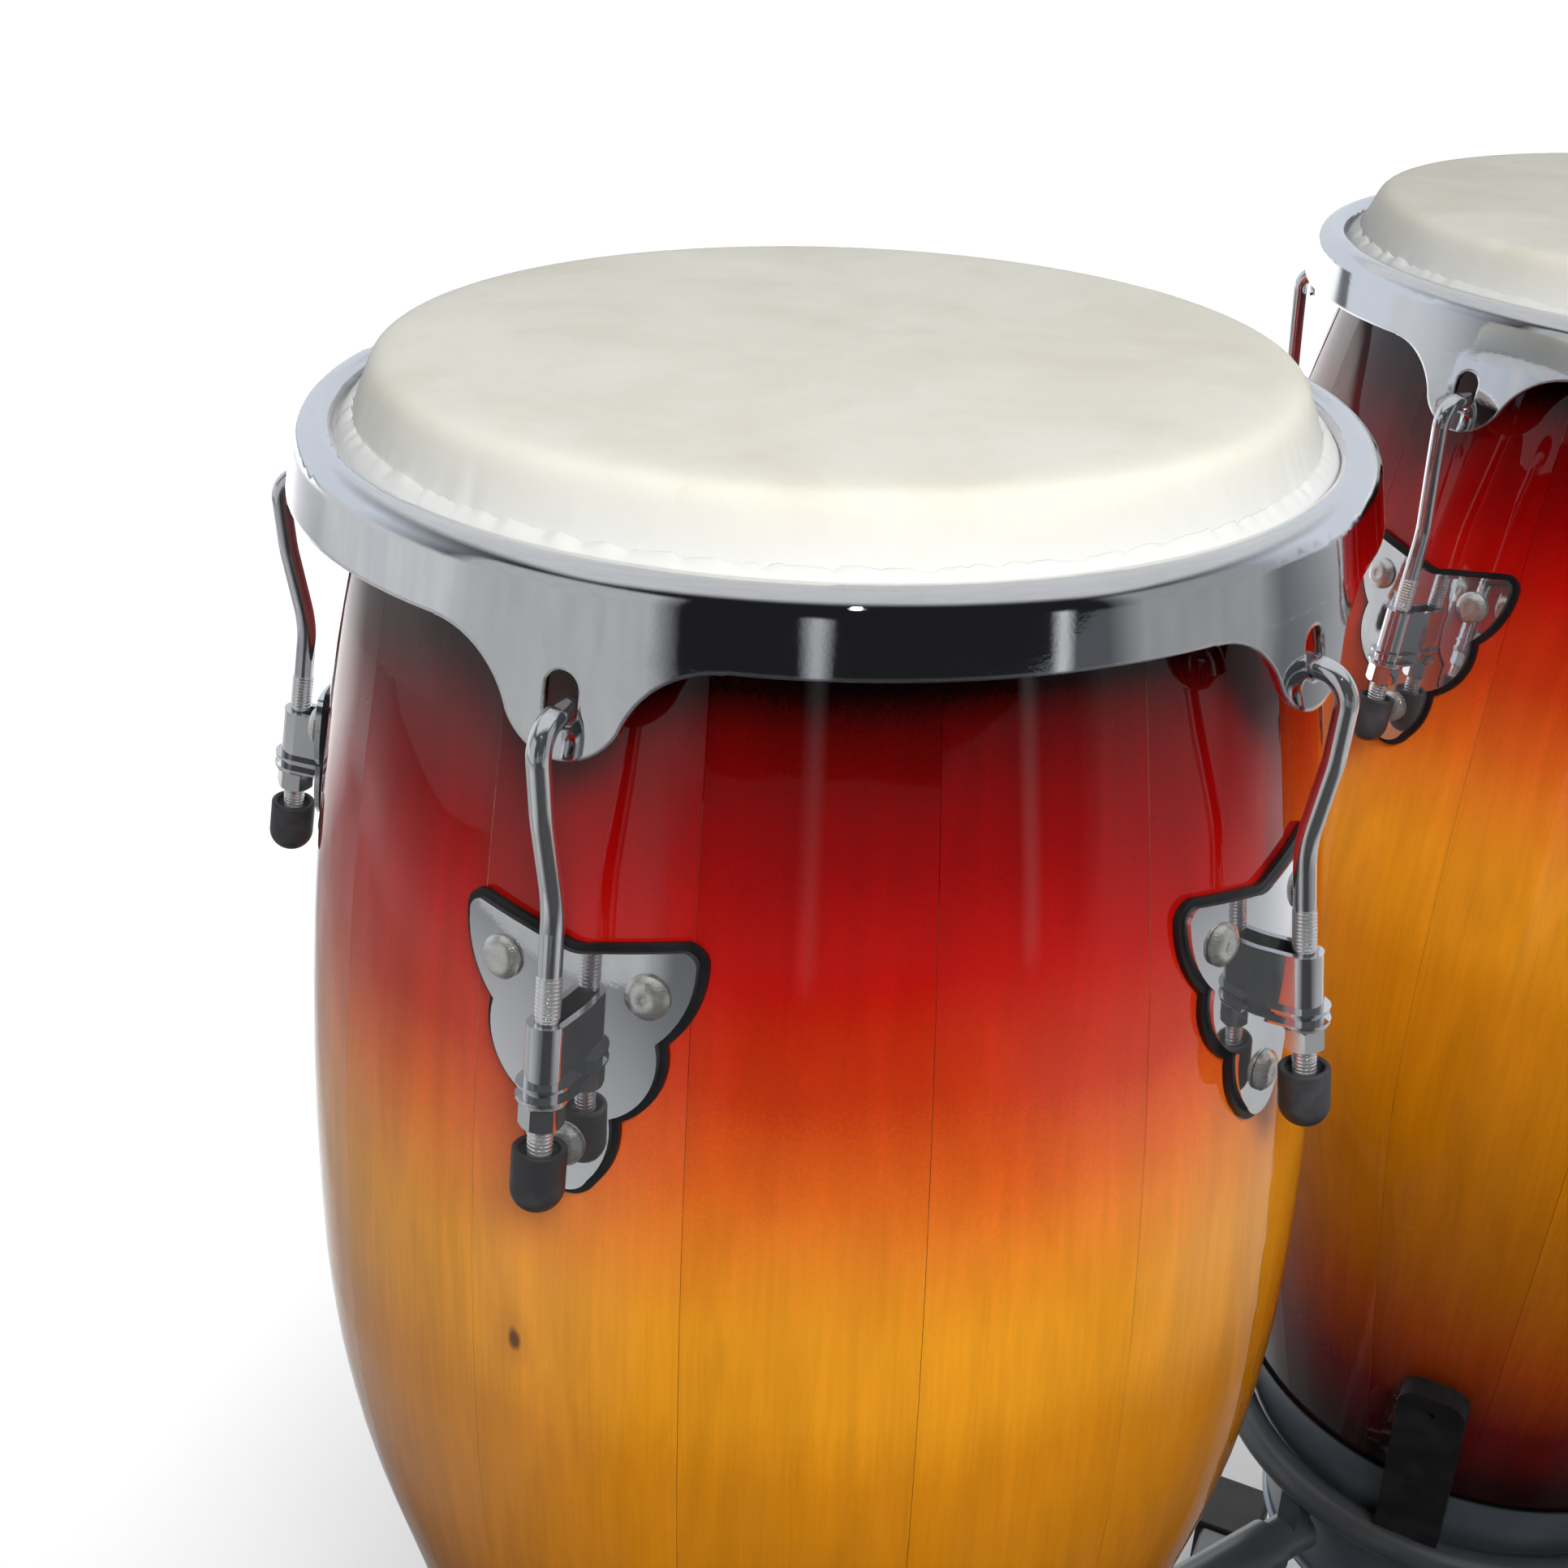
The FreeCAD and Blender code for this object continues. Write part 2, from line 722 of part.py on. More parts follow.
def fasteners(which, barrel):
    """Dome-headed bolts with a washer and nut inside the shell, and the rod washers."""
    plate_face = size["gasket_gap"] + size["gasket_wall"] + size["plate_wall"] + 0.15
    head = size["bolt_head"]
    shank = size["bolt_shank"]
    rise = size["bolt_dome"]
    end = plate_face - size["bolt_length"]
    crown = 0.15 * head
    edge = plate_face + size["bolt_edge"]
    curve = (head * 0.76, plate_face + rise * 0.84)
    bolt = revolve(which + "_bolt", [
        line((0.0, end), (shank, end)),
        line((shank, end), (shank, plate_face)),
        line((shank, plate_face), (head, plate_face)),
        line((head, plate_face), (head, edge)),
        arc((head, edge), curve, (crown, plate_face + rise)),
        line((crown, plate_face + rise), (0.0, plate_face + rise)),
        line((0.0, plate_face + rise), (0.0, end)),
    ])
    inner_face = -size["shell_wall"] - 0.3
    inside = "%s + 0.05" % of("bolt_shank")
    washer = pad(which + "_inside_washer", "XY_Plane", of("washer_wall"),
                 circles=((of("inside_washer"), "0", "0"), (inside, "0", "0")),
                 lift="-%s - 0.3 - %s" % (of("shell_wall"), of("washer_wall")))
    nut = pad(which + "_inside_nut", "XY_Plane", of("inside_nut_height"),
              curves=hexagon(size["inside_nut_flats"]), circles=((inside, "0", "0"),),
              lift="-%s - 0.4 - %s - %s" % (of("shell_wall"), of("washer_wall"),
                                                   of("inside_nut_height")))
    outwards = Placement(Vector(), Rotation(SIDEWAYS, 90))
    frame = drum_place(which)
    places = [frame * place * outwards for place in bolt_places(which, barrel)]
    rod_washer = pad(which + "_rod_washer", "XY_Plane", of("washer_wall"),
                     circles=((of("washer_radius"), of("rod_offset"), "0"),
                              (of("strap_bore"), of("rod_offset"), "0")),
                     lift="%s - 0.2 - %s" % (of("strap_foot"), of("washer_wall")))
    lugs = [frame * place * lug_seat(barrel) for place in turned(lug_turns(which))]
    return [copies(which + "_bolts", bolt, places),
            copies(which + "_inside_washers", washer, places),
            copies(which + "_inside_nuts", nut, places),
            copies(which + "_rod_washers", rod_washer, lugs)]


def hexagon(flats, across=0.0):
    """The outline of a hexagon, given the distance between its flats."""
    reach = flats / math.sqrt(3)
    spots = [(across + reach * math.cos(math.radians(60 * i)), reach * math.sin(math.radians(60 * i)))
             for i in range(6)]
    return [line(spots[i - 1], spots[i]) for i in range(6)]


def hook(which, barrel):
    """A rod bent over into the rim's slot, then stepped in to run beside the shell."""
    extra = size[which + "_extra"]
    on_rod = lug_seat(barrel)
    ankle = on_rod.multVec(Vector(size["rod_offset"], 0, size["ankle_level"]))
    foot = on_rod.multVec(Vector(size["rod_offset"], 0, size["rod_foot"]))
    corners = [
        (size["tip_radius"] + extra, size["tip_foot"]),
        (size["tip_radius"] + extra, size["hook_level"]),
        (size["hook_radius"] + extra, size["hook_level"]),
        (size["knee_radius"] + extra, size["knee_level"]),
        (ankle.x, ankle.z),
        (foot.x, foot.z),
    ]
    body = new_body(which + "_hook")
    path = new_sketch(body, "XZ_Plane", which + "_hook_path")
    draw(path, rounded_path(corners, (4.6, 7.5, 40.0, 40.0)))
    section = new_sketch(body, "XY_Plane", which + "_hook_section", of("tip_foot"))
    draw_circle(section, of("rod_radius"), "%s + %s" % (of("tip_radius"), of(which + "_extra")), "0")
    pipe = body.newObject("PartDesign::AdditivePipe", which + "_hook_pipe")
    pipe.Profile = section
    pipe.Spine = (path, [])
    return body


def rubber_cap():
    """An acorn-shaped cap: a cup round the thread, a blind hole for the rod's end."""
    top = size["cap_top"]
    foot = size["cap_foot"]
    radius = size["cap_radius"]
    hole = size["rod_radius"] + 0.05
    cup = size["cap_cup_radius"]
    floor = top - size["cap_cup_depth"]
    bottom = size["rod_foot"] - 0.3
    waist = foot + radius * 0.95
    section = [
        line((hole, bottom), (hole, floor)),
        arc((hole, floor), (cup - 0.5, floor + 0.9), (cup, top - 0.5)),
        arc((cup, top - 0.5), ((cup + radius) / 2, top), (radius, top - 0.9)),
        line((radius, top - 0.9), (radius, waist)),
        arc((radius, waist), (radius * 0.74, foot + radius * 0.30), (radius * 0.16, foot)),
        line((radius * 0.16, foot), (0.0, foot)),
        line((0.0, foot), (0.0, bottom)),
        line((0.0, bottom), (hole, bottom)),
    ]
    return revolve("rubber_cap", section)


def tuning_nut():
    """A hexagon nut with a smooth bore, its corners eased by two cones."""
    blank = pad("tuning_nut_blank", "XY_Plane", of("nut_height"), hexagon(size["nut_flats"]),
                circles=((of("nut_bore"), "0", "0"),), lift="%s - %s" % (of("nut_top"), of("nut_height")))
    high = size["nut_top"]
    low = high - size["nut_height"]
    face = size["nut_flats"] / 2
    ease = revolve("tuning_nut_ease", [
        line((0.0, low), (face, low)),
        line((face, low), (face + 1.0, low + 0.8)),
        line((face + 1.0, low + 0.8), (face + 1.0, high - 0.8)),
        line((face + 1.0, high - 0.8), (face, high)),
        line((face, high), (0.0, high)),
        line((0.0, high), (0.0, low)),
    ])
    return boolean("Common", "tuning_nut", blank, ease)


def drum(which, cap, nut):
    """Every piece of one drum."""
    barrel = Barrel(which)
    at_drum = [drum_place(which)]
    node(which + "_staves", staves(which, barrel), at_drum)
    node(which + "_bottom_band", bottom_band(which, barrel), at_drum)
    node(which + "_head_skin", head_skin(which), at_drum)
    node(which + "_flesh_hoop", flesh_hoop(which), at_drum)
    node(which + "_rim", rim(which), at_drum)
    gaskets = lug_layer(which, barrel, "gasket", 0.0, size["gasket_gap"], size["gasket_wall"])
    node(which + "_gaskets", gaskets, at_drum)
    node(which + "_lug_plates", lug_plates(which, barrel), at_drum)
    group_node(which + "_fasteners", fasteners(which, barrel))
    rod = hook(which, barrel)
    on_rod = Placement(Vector(size["rod_offset"], 0, 0), Rotation())
    for index, turn in enumerate(turned(lug_turns(which)), start=1):
        here = drum_place(which) * turn
        node("%s_hook_%d" % (which, index), rod, [here])
        node("%s_cap_%d" % (which, index), cap, [here * lug_seat(barrel) * on_rod])
        node("%s_nut_%d" % (which, index), nut, [here * lug_seat(barrel) * on_rod])


# ---------------------------------------------------------------- stand

def box(name, lengths, corner):
    """A plain block bound to the sheet, standing at a corner."""
    block = doc.addObject("Part::Box", name)
    for prop, length in zip(("Length", "Width", "Height"), lengths):
        bind(block, prop, length)
    block.Placement = Placement(Vector(*corner), Rotation())
    return block


def cylinder(name, radius, height, base, direction=UP):
    """A round bar bound to the sheet."""
    bar = doc.addObject("Part::Cylinder", name)
    bind(bar, "Radius", radius)
    bind(bar, "Height", height)
    bar.Placement = Placement(Vector(*base), Rotation(UP, direction))
    return bar


def tube(name, radius, bore, height, base, direction=UP):
    return boolean("Cut", name, cylinder(name + "_outside", radius, height, base, direction),
                   cylinder(name + "_inside", bore, height, base, direction))


def capsule(half_width, top, foot):
    """An upright outline with a half-round top."""
    bend = half_width * 0.72
    shoulder = top - half_width * 0.62
    easing = (bend, top - half_width * 0.12)
    return [
        line((-half_width, foot), (half_width, foot)),
        line((half_width, foot), (half_width, shoulder)),
        arc((half_width, shoulder), easing, (half_width * 0.3, top)),
        line((half_width * 0.3, top), (-half_width * 0.3, top)),
        arc((-half_width * 0.3, top), (-easing[0], easing[1]), (-half_width, shoulder)),
        line((-half_width, shoulder), (-half_width, foot)),
    ]


def prong_places(which, barrel):
    """The seat frames of a basket's prongs, in the drum frame."""
    count = int(size["prong_count"])
    start = size["prong_angle"] - 90
    level = size["prong_level"]
    leaning = seat(barrel.radius_at(level), level, barrel.lean_at(level))
    return [place * leaning for place in turned([start + 360.0 * i / count for i in range(count)])]


def basket(which, barrel):
    """A tube ring with three flat prongs, on an arm that slides in the crossbar."""
    ring_radius = size[which + "_ring_radius"]
    ring = doc.addObject("Part::Torus", which + "_basket_ring")
    bind(ring, "Radius1", of(which + "_ring_radius"))
    bind(ring, "Radius2", of("ring_tube"))
    ring.Placement = Placement(Vector(0, 0, size["ring_level"]), Rotation())
    half = size["prong_width"] / 2
    lift = "%s + (%s - %s) / 2" % (of("sleeve_gap"), of("sleeve_wall"), of("prong_wall"))
    prong = pad(which + "_prong", "YZ_Plane", of("prong_wall"),
                capsule(half, size["prong_top"], size["prong_foot"]), lift=lift)
    prongs = copies(which + "_prongs", prong, prong_places(which, barrel))
    frame = boolean("Fuse", which + "_basket_frame", ring, prongs)
    side = -1 if which == "second" else 1
    inner = STAND_REACH - size["arm_start"]
    outer = ring_radius - size["arm_past_ring"]
    yaw = Rotation(UP, STAND_YAW)
    along = Vector(side, 0, 0)
    level = Vector(0, 0, size["arm_level"])
    start = yaw.multVec(along * outer) + level
    arm = tube(which + "_arm", of("arm_radius"), "%s - %s" % (of("arm_radius"), of("arm_wall")),
               "%.3f" % (inner - outer), start, yaw.multVec(along))
    saddle_foot = size["arm_level"] + size["arm_radius"] - size["saddle_sink"]
    near = side * (ring_radius - size["saddle_inset"])
    far = near + side * size["saddle_length"]
    saddle = box(which + "_saddle", (of("saddle_length"), of("saddle_width"),
                                     "%s - %s - %s + %s" % (of("saddle_top"), of("arm_level"),
                                                             of("arm_radius"), of("saddle_sink"))),
                 (min(near, far), -size["saddle_width"] / 2, saddle_foot))
    saddle.Placement = Placement(Vector(), yaw) * saddle.Placement
    held = boolean("Fuse", which + "_arm_saddled", arm, saddle)
    return boolean("Fuse", which + "_basket_whole", frame, held)


def sleeves(which, barrel):
    """Rubber sleeves pushed over the prongs, each with a small vent hole."""
    half = size["sleeve_width"] / 2
    outside = pad(which + "_sleeve_outside", "YZ_Plane", of("sleeve_wall"),
                  capsule(half, size["sleeve_top"], size["sleeve_foot"]), lift=of("sleeve_gap"))
    pocket_half = size["prong_width"] / 2 + 0.1
    pocket = pad(which + "_sleeve_pocket", "YZ_Plane", "%s + 0.2" % of("prong_wall"),
                 capsule(pocket_half, size["prong_top"] + 0.2, size["sleeve_foot"] - 5.0),
                 lift="%s + (%s - %s) / 2 - 0.1" % (of("sleeve_gap"), of("sleeve_wall"),
                                                          of("prong_wall")))
    hollow = boolean("Cut", which + "_sleeve_hollow", outside, pocket)
    vent = cylinder(which + "_sleeve_vent", of("sleeve_hole"), "6",
                    (size["sleeve_gap"] + size["sleeve_wall"] - 3.0, 0, size["sleeve_top"] - 13.0),
                    Vector(1, 0, 0))
    sleeve = boolean("Cut", which + "_sleeve", hollow, vent)
    return copies(which + "_sleeve_set", sleeve, prong_places(which, barrel))


def stand_place(yaw=0.0):
    """The stand's own frame: on the floor, X along the crossbar."""
    return Placement(STAND_CENTRE, Rotation(UP, STAND_YAW + yaw))


def crossbar():
    """A tube open at both ends, on a hub that turns on the mast."""
    level = size["rim_height"] + size["arm_level"]
    half = size["crossbar_half"]
    length = "2 * %s" % of("crossbar_half")
    start = (-half, 0, level)
    bore = "%s + %s" % (of("arm_radius"), of("running_gap"))
    bar = cylinder("crossbar_bar", of("crossbar_radius"), length, start, Vector(1, 0, 0))
    hub_height = level - size["hub_foot"]
    hub = cylinder("crossbar_hub", of("hub_radius"), "%.3f" % hub_height, (0, 0, size["hub_foot"]))
    joined = boolean("Fuse", "crossbar_joined", bar, hub)
    for index, side in enumerate((-1, 1), start=1):
        boss = cylinder("crossbar_boss_%d" % index, "2 * %s" % of("screw_radius"), "19",
                        (side * half * 0.72, 0, level), Vector(0, -1, 0))
        joined = boolean("Fuse", "crossbar_bossed_%d" % index, joined, boss)
    joined = boolean("Cut", "crossbar_bored", joined,
                     cylinder("crossbar_bore", bore, length, start, Vector(1, 0, 0)))
    for index, side in enumerate((-1, 1), start=1):
        thread = cylinder("crossbar_thread_%d" % index, "%s + %s" % (of("screw_radius"), of("running_gap")),
                          "30", (side * half * 0.72, 0, level), Vector(0, -1, 0))
        joined = boolean("Cut", "crossbar_threaded_%d" % index, joined, thread)
    socket = cylinder("crossbar_socket", "%s + %s" % (of("pin_radius"), of("running_gap")), "22",
                      (0, 0, size["hub_foot"]))
    return boolean("Cut", "crossbar_solid", joined, socket)


def mast():
    """The sliding tube, with the pin that the crossbar turns on."""
    low = size["mast_foot"]
    rod = tube("mast_tube", of("mast_radius"), "%s - 2" % of("mast_radius"),
               "%s - %s" % (of("mast_top"), of("mast_foot")), (0, 0, low))
    plug = cylinder("mast_plug", "%s - 1" % of("mast_radius"), "14",
                    (0, 0, size["mast_top"] - 14.0))
    pin = cylinder("mast_pin", of("pin_radius"), "26", (0, 0, size["mast_top"] - 6.0))
    return boolean("Fuse", "mast_solid", boolean("Fuse", "mast_plugged", rod, plug), pin)


def bar_levels():
    """The underside of the fixed bar and of the swinging bar."""
    low = size["bar_ground"]
    return low, low + size["bar_height"] + size["bar_gap"]


def post():
    """The outer tube: spigot through the bars, flange, tube and clamp collar."""
    low, high = bar_levels()
    disc = high + size["bar_height"] + size["bar_gap"]
    top = size["post_top"]
    spigot = cylinder("post_spigot", of("pin_radius"), "%.3f" % (disc - low - size["bar_wall"]),
                      (0, 0, low + size["bar_wall"]))
    flange = cylinder("post_flange", of("flange_disc"), of("flange_disc_wall"), (0, 0, disc))
    body = cylinder("post_body", of("post_radius"), "%.3f" % (top - disc), (0, 0, disc))
    collar = cylinder("post_collar", of("collar_radius"), of("collar_height"),
                      (0, 0, top - size["collar_height"]))
    boss_level = top - size["collar_height"] / 2
    boss = cylinder("post_boss", "2 * %s" % of("screw_radius"), "30", (0, 0, boss_level),
                    Vector(0, -1, 0))
    solid = spigot
    for index, piece in enumerate((flange, body, collar, boss), start=1):
        solid = boolean("Fuse", "post_step_%d" % index, solid, piece)
    bore_foot = disc + size["flange_disc_wall"]
    bore = cylinder("post_bore", "%s + %s" % (of("mast_radius"), of("running_gap")),
                    "%.3f" % (top - bore_foot), (0, 0, bore_foot))
    thread = cylinder("post_thread", "%s + %s" % (of("screw_radius"), of("running_gap")), "40",
                      (0, 0, boss_level), Vector(0, -1, 0))
    return boolean("Cut", "post_solid", boolean("Cut", "post_bored", solid, bore), thread)


def base_bar(name, low, hole):
    """A rectangular tube across the floor, bored at its middle."""
    length = size["bar_length"]
    width = size["bar_width"]
    wall = size["bar_wall"]
    outside = box(name + "_outside", (of("bar_length"), of("bar_width"), of("bar_height")),
                  (-length / 2, -width / 2, low))
    rounded = doc.addObject("Part::Fillet", name + "_rounded")
    rounded.Base = outside
    doc.recompute()
    long_edges = [index for index, edge in enumerate(outside.Shape.Edges, start=1)
                  if abs(edge.Length - length) < 1e-6]
    rounded.Edges = [(index, 3.0, 3.0) for index in long_edges]
    inside = box(name + "_inside", (of("bar_length"), "%s - 2 * %s" % (of("bar_width"), of("bar_wall")),
                                    "%s - 2 * %s" % (of("bar_height"), of("bar_wall"))),
                 (-length / 2, -width / 2 + wall, low + wall))
    drill = cylinder(name + "_drill", hole, of("bar_height"), (0, 0, low + (wall if low < 20 else 0)))
    return boolean("Cut", name + "_bored", boolean("Cut", name + "_hollow", rounded, inside), drill)


def shoe(name, low):
    """A rubber shoe on a bar's end, down to the floor."""
    length = size["shoe_length"]
    width = size["bar_width"] + 2 * size["shoe_wall"]
    top = low + size["bar_height"] + size["shoe_wall"] - 1.5
    reach = size["shoe_reach"]
    outside = box(name + "_outside", (of("shoe_length"), "%s + 2 * %s" % (of("bar_width"), of("shoe_wall")),
                                      "%.3f" % top), (0, -width / 2, 0))
    rounded = doc.addObject("Part::Fillet", name + "_rounded")
    rounded.Base = outside
    doc.recompute()
    wanted = [index for index, edge in enumerate(outside.Shape.Edges, start=1)
              if edge.BoundBox.XMin > length - 1e-6 or edge.BoundBox.ZMin > top - 1e-6]
    rounded.Edges = [(index, 3.0, 3.0) for index in wanted]
    pocket = box(name + "_pocket", ("%s - %s + 0.1" % (of("shoe_length"), of("shoe_reach")),
                                    "%s + 0.2" % of("bar_width"), "%s + 0.2" % of("bar_height")),
                 (0, -size["bar_width"] / 2 - 0.1, low - 0.1))
    return boolean("Cut", name + "_solid", rounded, pocket), size["bar_length"] / 2 + reach - length


def shoes(name, low, yaw):
    """The two shoes of one bar."""
    solid, start = shoe(name, low)
    places = [stand_place(yaw) * Placement(Vector(), Rotation(UP, half_turn))
              * Placement(Vector(start, 0, 0), Rotation()) for half_turn in (0, 180)]
    node(name, solid, places)


def wing_screw():
    """A thumbscrew: threaded shank, shoulder and two rounded wings."""
    shank = cylinder("screw_shank", of("screw_radius"), "20", (0, 0, 0))
    shoulder = cylinder("screw_shoulder", "%s + 3" % of("screw_radius"), "9", (0, 0, 19.0))
    reach = size["screw_wing"]
    wing = pad("screw_wings", "XZ_Plane", "4", [
        line((-4.0, 20.0), (4.0, 20.0)),
        line((4.0, 20.0), (reach - 5.0, 25.0)),
        arc((reach - 5.0, 25.0), (reach, 33.0), (reach - 8.0, 35.0)),
        line((reach - 8.0, 35.0), (3.0, 28.0)),
        line((3.0, 28.0), (-3.0, 28.0)),
        line((-3.0, 28.0), (8.0 - reach, 35.0)),
        arc((8.0 - reach, 35.0), (-reach, 33.0), (5.0 - reach, 25.0)),
        line((5.0 - reach, 25.0), (-4.0, 20.0)),
    ], lift="-2")
    return boolean("Fuse", "screw_solid", boolean("Fuse", "screw_round", shank, shoulder), wing)


def stand():
    """Base, post, mast, crossbar, baskets and their screws."""
    low, high = bar_levels()
    half_spread = size["bar_spread"] / 2
    node("base_bar_fixed", base_bar("fixed_bar", low, "%s + 0.1" % of("pin_radius")),
         [stand_place(-half_spread)])
    node("base_bar_swing", base_bar("swing_bar", high, "%s + %s" % (of("pin_radius"), of("running_gap"))),
         [stand_place(half_spread)])
    shoes("shoes_fixed", low, -half_spread)
    shoes("shoes_swing", high, half_spread)
    node("post", post(), [stand_place()])
    node("mast", mast(), [stand_place()])
    node("crossbar", crossbar(), [stand_place()])
    for which in DRUMS:
        barrel = Barrel(which)
        node(which + "_basket", basket(which, barrel), [drum_place(which)])
        node(which + "_sleeves", sleeves(which, barrel), [drum_place(which)])
    screw = wing_screw()
    level = size["rim_height"] + size["arm_level"]
    toward_player = Rotation(Vector(1, 0, 0), 90)
    along = size["crossbar_half"] * 0.72
    arm_face = size["arm_radius"] + 0.2
    mast_face = size["mast_radius"] + 0.2
    for name, spot in (("screw_first", Vector(-along, -arm_face, level)),
                       ("screw_second", Vector(along, -arm_face, level)),
                       ("screw_height", Vector(0, -mast_face,
                                               size["post_top"] - size["collar_height"] / 2))):
        node(name, screw, [stand_place() * Placement(spot, toward_player)])


# ---------------------------------------------------------------- build

cap_piece = rubber_cap()
nut_piece = tuning_nut()
for which in DRUMS:
    drum(which, cap_piece, nut_piece)
stand()
doc.recompute()

faults = [item.Name for item in doc.Objects if "Invalid" in item.State or "Error" in item.State]
faults += [item.Label for item in NODES if item.Shape.isNull() or not item.Shape.isValid()]
if faults:
    raise RuntimeError("These objects failed: " + ", ".join(faults))

os.makedirs("parts", exist_ok=True)
whole = FreeCAD.BoundBox()
for item in NODES:
    item.Shape.exportStep("parts/%s.step" % item.Label)
    whole.add(item.Shape.BoundBox)
    print("%-22s solids %3d  volume %10.0f" % (item.Label, len(item.Shape.Solids), item.Shape.Volume))
print("nodes", len(NODES), "box", whole)
print("middle", whole.Center)
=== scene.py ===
"""Looks for the pair of conga drums: materials, hides, threads, light and camera."""
import json
import math

import bpy
from mathutils import Matrix, Vector, noise


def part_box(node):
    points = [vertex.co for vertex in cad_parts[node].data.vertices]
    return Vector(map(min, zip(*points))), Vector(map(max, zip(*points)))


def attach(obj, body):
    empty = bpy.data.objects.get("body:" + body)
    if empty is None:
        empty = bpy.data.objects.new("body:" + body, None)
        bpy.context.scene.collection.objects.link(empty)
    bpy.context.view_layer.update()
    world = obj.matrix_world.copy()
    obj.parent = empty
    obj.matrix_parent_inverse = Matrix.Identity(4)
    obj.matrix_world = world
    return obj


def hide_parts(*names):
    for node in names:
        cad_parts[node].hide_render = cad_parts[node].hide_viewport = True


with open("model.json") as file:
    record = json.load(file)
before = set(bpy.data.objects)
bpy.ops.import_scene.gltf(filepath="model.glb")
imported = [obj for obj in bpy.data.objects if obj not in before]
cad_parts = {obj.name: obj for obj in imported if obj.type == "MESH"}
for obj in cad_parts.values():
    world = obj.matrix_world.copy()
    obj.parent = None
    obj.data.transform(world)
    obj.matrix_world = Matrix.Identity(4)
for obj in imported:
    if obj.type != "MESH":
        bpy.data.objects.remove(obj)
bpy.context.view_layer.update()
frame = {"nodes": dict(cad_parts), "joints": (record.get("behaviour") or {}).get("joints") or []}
NODES = frame["nodes"]
JOINTS = {joint["name"]: joint for joint in frame["joints"]}
MM = 0.001
LUGS = 5
STAVES = 16
# the turn of each drum's front lug, in degrees from -Y
FRONT_LUG = {"first": -23.6, "second": -53.4}
# how much larger each drum is than the first, in radius
EXTRA_RADIUS = {"first": 0.0, "second": 12.7 * MM}
# the rim's datum level above the staves' foot
RIM_LEVEL = 693 * MM
# the shell's radius where the knots are, on the smaller drum
SHELL_RADIUS = 162.6 * MM


# ---------------------------------------------------------------- places

class Drum:
    """Where a drum stands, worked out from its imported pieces."""

    def __init__(self, name):
        self.name = name
        low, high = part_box(name + "_head_skin")
        self.x = (low.x + high.x) / 2
        self.y = (low.y + high.y) / 2
        self.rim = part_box(name + "_staves")[0].z + RIM_LEVEL
        self.extra = EXTRA_RADIUS[name]
        self.front_turn = math.radians(FRONT_LUG[name] - 90)

    def spot(self, radius, turn, height):
        """A point in the row frame; radius and height in metres, height from the rim."""
        return Vector((self.x + radius * math.cos(turn), self.y + radius * math.sin(turn),
                       self.rim + height))


DRUM = {name: Drum(name) for name in FRONT_LUG}


# ---------------------------------------------------------------- node materials

# the sunburst, from the foot up: level from the rim in metres, and colour
BURST = [
    (-0.640, (0.004, 0.002, 0.003)),
    (-0.545, (0.012, 0.001, 0.002)),
    (-0.500, (0.090, 0.004, 0.003)),
    (-0.450, (0.290, 0.045, 0.003)),
    (-0.400, (0.400, 0.110, 0.002)),
    (-0.320, (0.560, 0.190, 0.002)),
    (-0.252, (0.690, 0.245, 0.006)),
    (-0.230, (0.820, 0.320, 0.012)),
    (-0.203, (0.870, 0.335, 0.016)),
    (-0.176, (0.845, 0.236, 0.020)),
    (-0.155, (0.750, 0.128, 0.014)),
    (-0.130, (0.560, 0.041, 0.007)),
    (-0.098, (0.460, 0.006, 0.003)),
    (-0.070, (0.260, 0.001, 0.001)),
    (-0.042, (0.095, 0.001, 0.001)),
    (-0.024, (0.010, 0.001, 0.001)),
]
# the depth of the sunburst's scale below the rim
BURST_DEPTH = 0.700
# small knots in the wood: turn in degrees, level from the rim and width in metres
KNOTS = {
    "first": [(-119.5, -0.222, 0.0026), (38.0, -0.31, 0.0022)],
    "second": [(20.0, -0.36, 0.0024)],
}
# near-black tones, for surfaces that are black or glow by themselves
DARK_CLOTH = [(0.3, (0.006, 0.006, 0.006)), (0.7, (0.010, 0.010, 0.010))]


